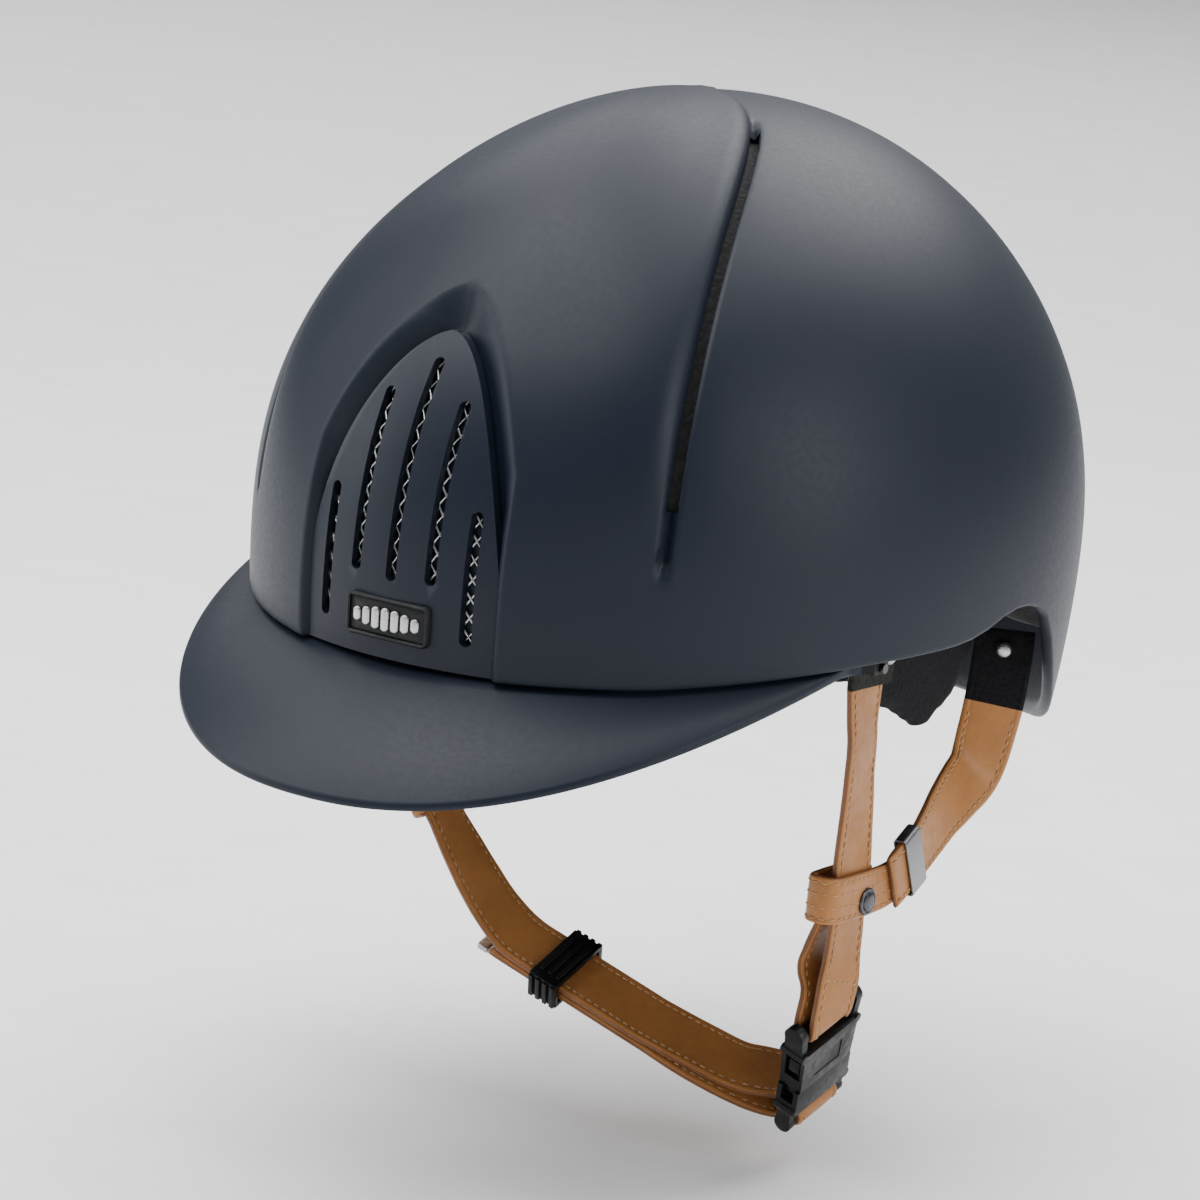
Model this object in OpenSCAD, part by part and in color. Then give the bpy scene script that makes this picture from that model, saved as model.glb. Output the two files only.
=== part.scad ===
// Equestrian riding helmet with a peaked visor, vent panels, comfort liner and a leather harness.
// Front is -Y, the wearer's left is +X, up is +Z. The origin is the centre of the head opening,
// level with the front rim.

/* [Shell] */
// Width across the shell
shell_w = 224; // [214:1:234]
// Head centre to the front of the shell
shell_front = 149; // [144:1:154]
// Head centre to the back of the shell
shell_rear = 125; // [120:1:130]
// Widest level above the front rim
widest_z = 30; // [28:1:32]
// Crown above the widest level
crown_h = 123; // [118:1:128]
// Wall thickness at the rim
shell_wall = 3.4; // [3:0.2:4]
// Height of the step behind the raised front cap
crest_h = 2.8; // [2:0.2:3.4]

/* [Front and rear vent panels] */
// Half width of the front arch at the rim
front_arch_w = 41; // [38:0.5:43]
// Height of the front arch
front_arch_z = 105.5; // [102:0.5:108]
// Half width of the front panel
front_panel_w = 33; // [31:0.5:34]
// Height of the front panel
front_panel_z = 93; // [90:0.5:94]
// Half width of the rear arch
rear_arch_w = 48; // [44:1:50]
// Height of the rear arch
rear_arch_z = 127; // [124:1:129]
// Depth of both recesses
recess_depth = 6; // [5:0.5:6.5]
// Width of each vent slot
slot_w = 3.4; // [3:0.2:4]

/* [Visor] */
// Furthest point of the visor in front of the head centre
visor_reach = 178.3; // [172:0.1:182]
// Drop of the visor's front edge below the front rim
visor_drop = 28.7; // [24:0.1:32]
// Visor thickness
visor_t = 2.4; // [2:0.1:3]

/* [Liner] */
// Foam thickness
foam_t = 16; // [14:0.5:17]
// Comfort pad thickness
pad_t = 6; // [4:0.5:6.5]

/* [Harness] */
// Strap width
strap_w = 17.5; // [15:0.5:18]
// Strap thickness
strap_t = 2.2; // [1.8:0.1:2.4]
// Buckle length, upper bar to lower bar
buckle_len = 35; // [34:1:38]
// Buckle width
buckle_w = 25; // [24:0.5:27]
// Buckle thickness
buckle_t = 8; // [7:0.5:9]

/* [Hidden] */

navy = [0.10, 0.12, 0.19];
black = [0.05, 0.05, 0.06];
fabric = [0.09, 0.09, 0.10];
tan_leather = [0.66, 0.42, 0.20];
steel = [0.72, 0.73, 0.75];
foam_grey = [0.16, 0.16, 0.17];
tab_grey = [0.30, 0.33, 0.28];

half_w = shell_w / 2;
lower_h = 197;
crown_shift = 0.087;      // the crown's pole leans this far forward, onto the crest step
crest_span = 128;
crest_curve = 34;
cap_crown = 2.4;          // extra height of the cap along its middle
step_w = 0.9;             // foot of the crest step
vent_w = 3;               // side vent slot behind the crest
min_ring = 6;
foam_gap = 0.6;
panel_inset = 2;
panel_t = 2.6;
mesh_t = 0.6;
eps_in = shell_wall + foam_gap + foam_t;
pad_in = eps_in + 3;
flap_in = 26;

// ---- The shell's surface ---------------------------------------------------------------

// A smooth switch from 0 to 1 as t goes through 0
function soft(t) = 1 / (1 + exp(-5 * t));
function mix(a, b, k) = a + (b - a) * k;
function smooth(t) = let(k = min(max(t, 0), 1)) k * k * (3 - 2 * k);
function unit(v) = v / norm(v);

// Direction at azimuth th (0 is the wearer's left, -90 the front) and elevation ph
function aim(th, ph) =
    let(lean = crown_shift * pow(max(sin(ph), 0), 2))
    unit([cos(ph) * cos(th), cos(ph) * sin(th) - lean, sin(ph)]);

// Distance from the head centre to the surface, set in by inset
function reach(d, inset) =
    let(a = mix(shell_front, shell_rear, soft(d.y)) - inset)
    let(c = mix(lower_h, crown_h, soft(d.z)) - inset)
    1 / norm([d.x / (half_w - inset), d.y / a, d.z / c]);

function on_shell(th, ph, inset) = aim(th, ph) * reach(aim(th, ph), inset) + [0, 0, widest_z];

// Elevation of the surface point at height z
function elevation(th, z, inset, turns = 4, ph = 0) =
    turns == 0 ? ph
    : elevation(th, z, inset, turns - 1, asin((z - widest_z) / reach(aim(th, ph), inset)));

function at_height(th, z, inset) = on_shell(th, elevation(th, z, inset), inset);

// Outward normal of the surface at a point
function outward(p) =
    let(a = p.y < 0 ? shell_front : shell_rear)
    let(c = p.z < widest_z ? lower_h : crown_h)
    unit([p.x / pow(half_w, 2), p.y / pow(a, 2), (p.z - widest_z) / pow(c, 2)]);

// Azimuth measured round from the front, 0 to 180 on either side
function from_front(th) = let(t = (th + 90) % 360) t > 180 ? 360 - t : abs(t);

// Height of the shell's rim: low at the brow, arched over the ear and down at the nape
function rim_z(th) = lookup(from_front(th), [
    [0, 3], [29, 6], [58, 13], [76, 16], [82, 18.5], [87, 23], [91, 24.5], [97, 23.5],
    [102, 19], [106, 9], [110, 0], [116, -10], [123, -18], [132, -24], [150, -29], [180, -30]
]);

// Half width of an arch at height z
function arch(z, w, top, sharp, power) =
    let(t = min(max((z - 3) / (top - 3), 0), 1)) w * pow(1 - pow(t, sharp), power);
function front_arch(z, w, top) = arch(z, w, top, 2, 0.6);
function rear_arch(z, w, top) = arch(z, w, top, 8, 0.5);

// ---- Rows and columns of the domes -------------------------------------------------------

rim_rows = 4;
row_ph = [0, 4, 10, 16, 21, 24, 26.6, 32.6, 39, 46, 51.8, 59, 67, 75, 82, 88];
rows = rim_rows + len(row_ph);
front_floor_rows = [0, rim_rows + 6];      // rows that hold the front recess floor
rear_floor_rows = [rim_rows + 1, rim_rows + 9];
side_vent_rows = [rim_rows + 2, rim_rows + 13];
front_cells = 5;
rear_cells = 7;
vent_cells = [rim_rows + 1, rim_rows + 4];

// Angle below the sideways direction at which the crest step stands, at elevation ph
function crest_angle(ph) =
    let(r = max(crest_span * cos(ph), 0.1))
    asin((sqrt(crest_curve * crest_curve + 4 * r * r) - crest_curve) / (2 * r));

function arc_angle(width, ph) = width / max(crest_span * cos(ph), min_ring) * 180 / PI;

// Half angle of an arch of half width w, seen from the head centre
function spread(centre, ph, w) =
    let(r0 = reach(aim(centre, ph), 0) * cos(ph))
    let(t0 = asin(min(w / r0, 0.9)))
    let(r1 = reach(aim(centre + t0, ph), 0) * cos(ph))
    asin(min(w / r1, 0.9));

// Half-sector columns, from the middle of a panel out to the crest: [angle, is floor]
function half_columns(centre, ph, z, limit, cells, w, w_floor) =
    let(edge = spread(centre, ph, max(w, 4)))
    let(floor_edge = min(spread(centre, ph, max(w_floor, 1.5)), edge - 1))
    concat(
        [0, floor_edge / 2, floor_edge, edge],
        [for (k = [1:cells]) mix(edge, limit, k / cells)]
    );

function front_half(ph, z) =
    let(w = front_arch(z, front_arch_w, front_arch_z))
    let(w_floor = front_arch(z, front_panel_w + 1.2, front_panel_z + 1.2))
    half_columns(-90, ph, z, 90 - crest_angle(ph), front_cells, w, w_floor);

function rear_half(ph, z) =
    let(w = rear_arch(z, rear_arch_w, rear_arch_z))
    let(w_floor = rear_arch(z, rear_arch_w - 7, rear_arch_z - 8))
    let(slot = 90 + crest_angle(ph) - arc_angle(step_w + vent_w, ph))
    concat(half_columns(90, ph, z, slot, rear_cells, w, w_floor),
        [90 + crest_angle(ph) - arc_angle(step_w, ph)]);

function backwards(v) = [for (k = [len(v) - 1:-1:1]) v[k]];

// All azimuths of one row, once round from the middle of the front
function columns(ph, z) =
    let(f = front_half(ph, z), r = rear_half(ph, z))
    concat([for (t = f) -90 + t], [for (t = backwards(r)) 90 - t], [for (t = r) 90 + t],
        [for (t = backwards(f)) 270 - t]);

front_n = 3 + front_cells;
rear_n = 4 + rear_cells;
column_n = 2 * front_n + 2 * rear_n + 2;

// Column kinds, by steps from the middle of the nearer panel
function front_steps(j) = min(j, column_n - j);
function rear_steps(j) = abs(j - front_n - rear_n - 1);
function is_front(j) = front_steps(j) <= front_n;

function row_elevation(th, i, rim) =
    i >= rim_rows ? row_ph[i - rim_rows]
    : mix(elevation(th, rim, 0), 0, i / rim_rows);

// How far the outer face is sunk at a grid point
function sunk(i, j) =
    is_front(j)
    ? (front_steps(j) <= 2 && i <= front_floor_rows[1] ? recess_depth : 0)
    : (rear_steps(j) <= 2 && i >= rear_floor_rows[0] && i <= rear_floor_rows[1] ? recess_depth : 0);

function cap_rise(i, from, to) = i < rim_rows ? 0 : smooth((row_ph[i - rim_rows] - from) / (to - from));

// How far the front cap stands above the plain surface at a grid point
function lift(i, j) =
    let(to_edge = smooth((front_steps(j) - 3) / (front_n - 3)))
    let(to_middle = smooth((front_n - front_steps(j)) / 4))
    is_front(j)
    ? crest_h * max(cap_rise(i, 0, 26) * to_edge, cap_rise(i, 27, 52))
        + cap_crown * cap_rise(i, 27, 66) * (1 - cap_rise(i, 66, 90)) * to_middle
    : 0;

// Is the cell above row i and beside column j left open as a vent
function vent_cell(i, j) =
    let(k = (j + 0.5), f = min(k, column_n - k), r = abs(k - front_n - rear_n - 1))
    (r > rear_n - 1 && r < rear_n && i >= side_vent_rows[0] && i < side_vent_rows[1])
    || (f < 1 && i >= vent_cells[0] && i < vent_cells[1])
    || (r < 1 && i >= vent_cells[0] && i < vent_cells[1] + 2);

// Closed dome between two insets. rim_rise lifts its rim above the shell's, and rim_min holds it up
module dome(inset_out, inset_in, is_shell, rim_rise = 0, rim_min = -99, pole_row = 0) {
    n = column_n;
    top = rows - 1;
    layer = rows * n + 1;
    function azimuths(i) =
        let(ph = i < rim_rows ? 0 : row_ph[i - rim_rows])
        columns(ph, on_shell(-90, ph, 0).z);
    az = [for (i = [0:top]) azimuths(i)];
    function spot(i, j, inset) =
        let(th = az[i][j])
        let(z = i < rim_rows ? max(rim_z(th) + rim_rise, rim_min) : 0)
        on_shell(th, row_elevation(th, i, z), inset);
    function outer_inset(i, j) = inset_out + sunk(i, j) - (is_shell ? lift(i, j) : 0);
    function inner_inset(i, j) = inset_in + (is_shell ? sunk(i, j) : 0);
    outside = [for (i = [0:top]) for (j = [0:n - 1]) spot(i, j, outer_inset(i, j))];
    inside = [for (i = [0:top]) for (j = [0:n - 1]) spot(i, j, inner_inset(i, j))];
    function id(side, i, j) = side * layer + i * n + j % n;
    function open(i, j) = is_shell && vent_cell(i, (j + n) % n);
    cells = [for (i = [0:top - 1]) for (j = [0:n - 1]) [i, j]];
    skins = [for (c = cells) let(i = c[0], j = c[1]) if (!open(i, j)) each [
        [id(0, i, j), id(0, i + 1, j), id(0, i + 1, j + 1)],
        [id(0, i, j), id(0, i + 1, j + 1), id(0, i, j + 1)],
        [id(1, i, j), id(1, i + 1, j + 1), id(1, i + 1, j)],
        [id(1, i, j), id(1, i, j + 1), id(1, i + 1, j + 1)]
    ]];
    function wall(i0, j0, i1, j1) = [
        [id(0, i0, j0), id(0, i1, j1), id(1, i1, j1)],
        [id(0, i0, j0), id(1, i1, j1), id(1, i0, j0)]
    ];
    vents = [for (c = cells) let(i = c[0], j = c[1]) if (open(i, j)) each concat(
        open(i - 1, j) ? [] : wall(i, j + 1, i, j),
        open(i + 1, j) ? [] : wall(i + 1, j, i + 1, j + 1),
        open(i, j - 1) ? [] : wall(i, j, i + 1, j),
        open(i, j + 1) ? [] : wall(i + 1, j + 1, i, j + 1)
    )];
    rim = [for (j = [0:n - 1]) each wall(0, j, 0, j + 1)];
    caps = [for (j = [0:n - 1]) each [
        [id(0, top, j), rows * n, id(0, top, j + 1)],
        [id(1, top, j + 1), layer + rows * n, id(1, top, j)]
    ]];
    pole = [on_shell(0, 90, inset_out - (is_shell ? crest_h / 2 : 0))];
    inner_pole = [on_shell(0, 90, inset_in)];
    polyhedron(concat(outside, pole, inside, inner_pole), concat(skins, vents, rim, caps));
}

// ---- Simple closed sheets ------------------------------------------------------------------

// A closed slab from two grids of points of the same size
module slab(front, back) {
    m = len(front);
    n = len(front[0]);
    function id(side, i, j) = side * m * n + i * n + j;
    edge = concat([for (j = [0:n - 2]) [0, j]], [for (i = [0:m - 2]) [i, n - 1]],
        [for (j = [n - 1:-1:1]) [m - 1, j]], [for (i = [m - 1:-1:1]) [i, 0]]);
    sides = [for (k = [0:len(edge) - 1])
        let(a = edge[k], b = edge[(k + 1) % len(edge)]) each [
            [id(0, a[0], a[1]), id(1, a[0], a[1]), id(1, b[0], b[1])],
            [id(0, a[0], a[1]), id(1, b[0], b[1]), id(0, b[0], b[1])]
        ]];
    faces = [for (i = [0:m - 2]) for (j = [0:n - 2]) each [
        [id(0, i, j), id(0, i, j + 1), id(0, i + 1, j + 1)],
        [id(0, i, j), id(0, i + 1, j + 1), id(0, i + 1, j)],
        [id(1, i, j), id(1, i + 1, j + 1), id(1, i, j + 1)],
        [id(1, i, j), id(1, i + 1, j), id(1, i + 1, j + 1)]
    ]];
    points = concat([for (r = front) each r], [for (r = back) each r]);
    polyhedron(points, [for (f = concat(faces, sides)) [f[2], f[1], f[0]]]);
}

// A pad that follows the shell between two azimuths, from low(th) up to height high
module band(th0, th1, steps, low, high, inset, t, levels = 4) {
    function grid(d) = [for (k = [0:levels]) [for (s = [0:steps])
        let(th = mix(th0, th1, s / steps))
        at_height(th, mix(lookup(from_front(th), low), high, k / levels), d)]];
    slab(grid(inset), grid(inset + t));
}

// The point of the front or rear surface over (x, z), found in a few turns
function over(x, z, side, inset) = over_from(x, z, side, inset, side * 100, 6);
function over_from(x, z, side, inset, y, turns) =
    let(h = z - widest_z, far = reach(unit([x, y, h]), inset))
    turns == 0 ? [x, y, z]
    : over_from(x, z, side, inset, side * sqrt(max(far * far - x * x - h * h, 1)), turns - 1);

// An arched panel that follows the surface; w(z) is its half width
module arched_panel(side, z0, z1, w, top, inset, t, levels = 14, steps = 10) {
    function half(z) = max(side < 0 ? front_arch(z, w, top) : rear_arch(z, w, top), 1);
    function height(k) = mix(z0, z1, 1 - pow(1 - k / levels, 1.5));
    function grid(d) = [for (k = [0:levels]) [for (s = [0:steps])
        let(z = height(k))
        over(-side * half(z) * (2 * s / steps - 1), z, side, d)]];
    slab(grid(inset), grid(inset + t));
}

// Upright slot cutter with round ends
module slot(x, z0, z1, side) {
    r = slot_w / 2;
    translate([x, side * 60, 0]) rotate([side < 0 ? 90 : -90, 0, 0]) {
        far = 120;
        translate([-r, side < 0 ? z0 + r : -z1 + r, 0]) cube([slot_w, z1 - z0 - slot_w, far]);
        for (z = [z0 + r, z1 - r]) translate([0, side < 0 ? z : -z, 0]) cylinder(h = far, r = r, $fn = 32);
    }
}

front_slots = [[0, 26, 86], [-12.3, 27, 76.5], [12.3, 27, 76.5], [-23.3, 12, 49], [23.3, 12, 49]];
rear_slots = [[0, 46, 104], [-14, 46, 102], [14, 46, 102], [-28, 46, 92], [28, 46, 92]];

// ---- Shell, visor and panels -----------------------------------------------------------------

module outer_shell() {
    color(navy) dome(0, shell_wall, true);
}

// Outer edge of the visor, by angle from the middle
visor_end_y = -33;
visor_half_w = 98.7;
visor_end_z = 16.1;
visor_turn = 81.3;
visor_rim_turn = 58.5;
function visor_edge(t) =
    let(s = pow(abs(sin(t)), 0.893) * sign(t), c = pow(cos(t), 0.893))
    [visor_half_w * s, visor_end_y - (visor_reach + visor_end_y) * c,
        visor_end_z - (visor_end_z + visor_drop) * pow(cos(t), 1.16)];

// Inner edge of the visor, just under the shell's rim
function visor_root(t) =
    let(th = -90 + t / visor_turn * visor_rim_turn)
    at_height(th, rim_z(th) - 0.5 - visor_t * 1.3, shell_wall - 0.6);

function visor_point(t, k, up) =
    let(a = visor_root(t), b = visor_edge(t))
    let(bulge = 10 * pow(k, 1.5) * (1 - k) * norm(b - a) / 45)
    mix(a, b, k) + [0, -0.6 * bulge, 0.8 * bulge] + [0, 0, up * (1 + 0.3 * (1 - k))];

module visor() {
    steps = 36;
    function grid(d) = [for (k = [0:5]) [for (s = [0:steps])
        visor_point(mix(-visor_turn, visor_turn, s / steps), k / 5, d)]];
    color(navy) slab(grid(0), grid(visor_t));
}

visor_end = [97.3, -57, 10];

module visor_end_blocks() {
    color(black) for (s = [-1, 1])
        translate([s * visor_end.x, visor_end.y + 5, visor_end.z + 0.5]) cube([5, 7, 3.4], center = true);
}

module visor_screws() {
    color(steel) for (s = [-1, 1])
        translate([s * (visor_end.x + 2.7), visor_end.y + 5, visor_end.z + 0.5])
            rotate([0, s * 90, 0]) cylinder(h = 1.2, r = 1.4, $fn = 32);
}

module front_grille() {
    color(navy) difference() {
        arched_panel(-1, 4.4, front_panel_z, front_panel_w, front_panel_z, panel_inset, panel_t);
        for (s = front_slots) slot(s[0], s[1], s[2], -1);
    }
}

module front_mesh() {
    z0 = 9;
    color(steel) arched_panel(-1, z0, front_panel_z - 5, front_panel_w - 3, front_panel_z - 4,
        panel_inset + panel_t + 0.15, mesh_t, 14, 10);
}

// Rounded bar that bridges the panel's curve, with its long side along X
module badge_outline(w, h, r) {
    square([w - 2 * r, h], center = true);
    square([w, h - 2 * r], center = true);
    for (x = [-1, 1]) for (z = [-1, 1])
        translate([x * (w / 2 - r), z * (h / 2 - r)]) circle(r = r, $fn = 32);
}

badge_w = 27;
badge_h = 11.6;
badge_z = 15.4;
badge_inset = panel_inset - 0.15;

// A curved slab on the panel, cut to an upright outline
module badge_slab(t) {
    steps = 8;
    function grid(d) = [for (k = [0:2]) [for (s = [0:steps])
        over(mix(-16, 16, s / steps), badge_z + 8 * (k - 1), -1, d)]];
    intersection() {
        slab(grid(badge_inset - t), grid(badge_inset));
        translate([0, -120, badge_z]) rotate([90, 0, 0]) linear_extrude(40) children();
    }
}

module badge_frame() {
    color(black) badge_slab(2.2) difference() {
        badge_outline(badge_w, badge_h, 1.8);
        badge_outline(badge_w - 2.4, badge_h - 2.4, 1);
    }
}

module badge_plate() {
    color(steel) badge_slab(1.2) badge_outline(badge_w - 2.8, badge_h - 2.8, 0.9);
}

module rear_grille() {
    color(navy) difference() {
        arched_panel(1, 42, rear_arch_z - 14, rear_arch_w - 11, rear_arch_z - 14, panel_inset, panel_t);
        for (s = rear_slots) slot(s[0], s[1], s[2], 1);
    }
}

module rear_mesh() {
    color(steel) arched_panel(1, 44, rear_arch_z - 18, rear_arch_w - 14, rear_arch_z - 17,
        panel_inset + panel_t + 0.15, mesh_t, 14, 10);
}

// ---- Liner -------------------------------------------------------------------------------------

module foam_liner() {
    color(foam_grey) dome(shell_wall + foam_gap, eps_in, false, 5, 10);
}

module crown_pad() {
    rings = 4;
    turns = 24;
    function ring(k, d) = [for (s = [0:turns - 1]) on_shell(s * 360 / turns, mix(58, 86, k / rings), d)];
    n = (rings + 1) * turns;
    points = concat([for (k = [0:rings]) each ring(k, pad_in)], [for (k = [0:rings]) each ring(k, pad_in + pad_t)]);
    function id(side, k, s) = side * n + k * turns + s % turns;
    skins = [for (k = [0:rings - 1]) for (s = [0:turns - 1]) each [
        [id(0, k, s), id(0, k + 1, s), id(0, k + 1, s + 1), id(0, k, s + 1)],
        [id(1, k, s), id(1, k, s + 1), id(1, k + 1, s + 1), id(1, k + 1, s)]
    ]];
    edges = [for (s = [0:turns - 1]) each [
        [id(0, 0, s), id(0, 0, s + 1), id(1, 0, s + 1), id(1, 0, s)],
        [id(0, rings, s + 1), id(0, rings, s), id(1, rings, s), id(1, rings, s + 1)]
    ]];
    color(fabric) polyhedron(points, concat(skins, edges));
}

module brow_pad() {
    color(fabric) band(-146, -34, 20, [[0, 6], [60, 14]], 38, pad_in, pad_t);
}

module nape_pad() {
    color(fabric) band(52, 128, 14, [[140, 6], [180, 2]], 36, pad_in, pad_t);
}

// The ear flap hangs below the rim to a rounded point behind the cheek strap
flap_low = [[58, 3], [66, -2], [76, -9], [88, -15], [95, -20], [100, -21], [105, -18], [112, -12], [118, -4],
    [124, 4]];

module ear_flap_left() {
    color(fabric) band(-32, 34, 22, flap_low, 40, flap_in, pad_t, 5);
}

module ear_flap_right() {
    mirror([1, 0, 0]) ear_flap_left();
}

module hook_dots() {
    dot_r = 6;
    color(black) for (a = [[-120, 18], [-90, 20], [-60, 18], [65, 20], [115, 20]]) {
        inset = eps_in + 1.8;
        p = at_height(a[0], a[1] + 4, inset);
        v = unit(cross(at_height(a[0] + 3, a[1] + 4, inset) - at_height(a[0] - 3, a[1] + 4, inset),
                       at_height(a[0], a[1] + 8, inset) - at_height(a[0], a[1], inset)));
        translate(p) rotate([0, acos(v.z), atan2(v.y, v.x)]) translate([0, 0, -0.6])
            cylinder(h = 0.6, r = dot_r, $fn = 32);
    }
}

// ---- Straps ---------------------------------------------------------------------------------------

// A flat strap along points p, with its width along directions v
module ribbon(p, v, w, t) {
    n = len(p);
    function along(i) = unit(p[min(i + 1, n - 1)] - p[max(i - 1, 0)]);
    function across(i) = let(u = along(i)) unit(v[i] - u * (v[i] * u));
    function face(i) = cross(along(i), across(i));
    ring = [[-1, -1], [1, -1], [1, 1], [-1, 1]];
    points = [for (i = [0:n - 1]) for (c = ring)
        p[i] + across(i) * c[0] * w / 2 + face(i) * c[1] * t / 2];
    sides = [for (i = [0:n - 2]) for (k = [0:3])
        [4 * i + k, 4 * i + (k + 1) % 4, 4 * (i + 1) + (k + 1) % 4, 4 * (i + 1) + k]];
    split = [for (q = sides) each [[q[0], q[1], q[2]], [q[0], q[2], q[3]]]];
    ends = [[0, 2, 1], [0, 3, 2], [4 * n - 4, 4 * n - 3, 4 * n - 2], [4 * n - 4, 4 * n - 2, 4 * n - 1]];
    polyhedron(points, [for (f = concat(split, ends)) [f[2], f[1], f[0]]]);
}

function repeat(v, n) = [for (i = [1:n]) v];

// Angles that turn the axes onto three directions at right angles
function turn_axes(x, y, z) = [atan2(y.z, z.z), asin(-x.z), atan2(x.y, x.x)];
function square_to(v, u) = unit(v - u * (v * u));

// The buckle's own frame: origin on the upper bar, thickness X, width Y, length -Z
buckle_turn = [24, 18, 0];
buckle_top = [85.5, -37, -95];
buckle_face = [0.951, 0, -0.309];
buckle_across = [0.126, 0.914, 0.387];
buckle_down = [-0.282, 0.407, -0.869];
bar_r = 1.25;
wrap_r = bar_r + strap_t / 2 + 0.45;
function in_buckle(x, z) = buckle_top + buckle_face * x - buckle_down * z;

// The cheek strap hangs from the front anchor, round the buckle's upper bar and back up
cheek_path = concat(
    [[88, -39, 12], [88, -39, 2], [88, -37.6, -12], [88, -36.4, -26], [88, -35, -50], [87.8, -34.4, -66],
        [88, -34.8, -78], [88.6, -36.9, -87]],
    [for (a = [10, -35, -90, -145, -190]) let(r = wrap_r + (a < -100 ? 0.5 : 0.1))
        in_buckle(r * cos(a), r * sin(a)) - 0.8 * buckle_across],
    [[83.6, -36.9, -86.4], [80.8, -35.2, -79], [81.2, -34.6, -74], [83.4, -34.6, -67.6], [83.5, -34.8, -61],
        [83.5, -35, -54]]
);
cheek_across = concat(repeat([0, 1, 0], 6), [[0.05, 0.99, 0.12], [0.11, 0.93, 0.34]], repeat(buckle_across, 5),
    [[0.11, 0.93, 0.34], [0.05, 0.99, 0.12]], repeat([0, 1, 0], 4));

module cheek_strap_left() {
    color(tan_leather) ribbon(cheek_path, cheek_across, strap_w, strap_t);
}

// Straight run of the chin strap that the keeper slides on
keeper_from = [-24, -35, -96.5];
keeper_to = [26, -33.5, -111.5];

// The chin strap hangs from the far anchor, passes under the chin, round the plug's bar and back
keeper_along = unit(keeper_to - keeper_from);
chin_across = square_to([0, 0.87, 0.5], keeper_along);
chin_face = cross(chin_across, keeper_along);
tail_gap = 3 * chin_face;
far_divider_at = [-55, -36.5, -60];
chin_line = concat(
    [[-88, -39, 12], [-88, -39, 2], [-83, -38, -14], [-75, -37.4, -31], [-65, -37, -47], far_divider_at,
        [-49.5, -36.25, -67], [-44, -36, -74], [-33, -35.5, -87], keeper_from,
        mix(keeper_from, keeper_to, 0.06), mix(keeper_from, keeper_to, 0.94), keeper_to,
        [44, -33, -115.6], [57, -31, -118.6]],
    [for (q = [[-9, 2.9], [-3.6, 2.9]]) in_buckle(q.x, q.y - buckle_len)],
    [for (a = [80, 35, -10, -55, -100]) in_buckle(wrap_r * cos(a), wrap_r * sin(a) - buckle_len)],
    [in_buckle(-7, -3.4 - buckle_len)],
    [[57, -31, -122.4], [44, -33, -119], keeper_to + [3, 0.1, -0.9] + tail_gap,
        mix(keeper_from, keeper_to, 0.94) + tail_gap, mix(keeper_from, keeper_to, 0.06) + tail_gap,
        keeper_from + [-1, 0, 0.3] + tail_gap]
);
chin_sides = concat(repeat([0, 1, 0], 7), [[0, 0.97, 0.2], [0, 0.93, 0.36]],
    repeat(chin_across, 6), repeat(buckle_across, 8), repeat(chin_across, 6));

module chin_strap() {
    color(tan_leather) ribbon(chin_line, chin_sides, strap_w, strap_t);
}

module strap_tail_tip() {
    end = keeper_from + [-3.4, 0, 1] + tail_gap;
    u = keeper_along;
    color(steel) ribbon([end - u * 2, end + u * 1.8], [chin_across, chin_across], strap_w, strap_t);
}

// Each rear strap starts on its divider, passes the steel clip and turns up into the helmet
rear_path_left = [[93, -20, -57.6], [92.6, -14, -54.8], [92, -5, -50.6], [90.8, 3, -46.6], [89.2, 12.7, -41.8],
    [88.4, 22, -37.4], [88.2, 30.4, -32], [88.6, 34, -21], [89.2, 35.8, -10], [89.4, 36.6, 0], [89.4, 36.8, 8.5]];
rear_path_right = [[-59.2, -24, -63.4], [-62.2, -16.7, -58.9], [-65.5, -8.7, -53.9], [-69.6, 1, -47.8],
    [-75, 13, -40.6], [-79.2, 23, -35], [-82.4, 31, -29], [-83.6, 35, -19], [-83, 36.6, -9], [-82.4, 37.2, 2],
    [-82, 37.4, 12]];
rear_turn_in = [[0.4, -0.75, 0.5], [0.4, -0.88, 0.2], [0.4, -0.9, 0.05], [0.4, -0.9, 0], [0.4, -0.9, 0]];
rear_across_left = concat(repeat([0, -0.42, 0.9], 3), [[-0.08, -0.5, 0.86], [-0.2, -0.58, 0.78], [-0.4, -0.62, 0.67],
    [-0.6, -0.62, 0.5], [-0.75, -0.6, 0.26]], repeat([-0.85, -0.52, 0.1], 3));
rear_across_right = concat(repeat([-0.49, -0.6, 0.63], 3),
    [[-0.46, -0.58, 0.67], [-0.42, -0.57, 0.7], [-0.4, -0.6, 0.68]], [for (v = rear_turn_in) [-v.x, v.y, v.z]]);

module rear_strap_left() {
    color(tan_leather) ribbon(rear_path_left, rear_across_left, strap_w, strap_t);
}

module rear_strap_right() {
    color(tan_leather) ribbon(rear_path_right, rear_across_right, strap_w, strap_t);
}

// ---- Anchors and dividers -------------------------------------------------------------------------

module strap_tab() {
    translate([90.6, -41, 10.4]) cube([1.6, 22, 16.8], center = true);
}

module strap_tab_left() {
    color(tab_grey) strap_tab();
}

module strap_tab_right() {
    color(tab_grey) mirror([1, 0, 0]) strap_tab();
}

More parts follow.
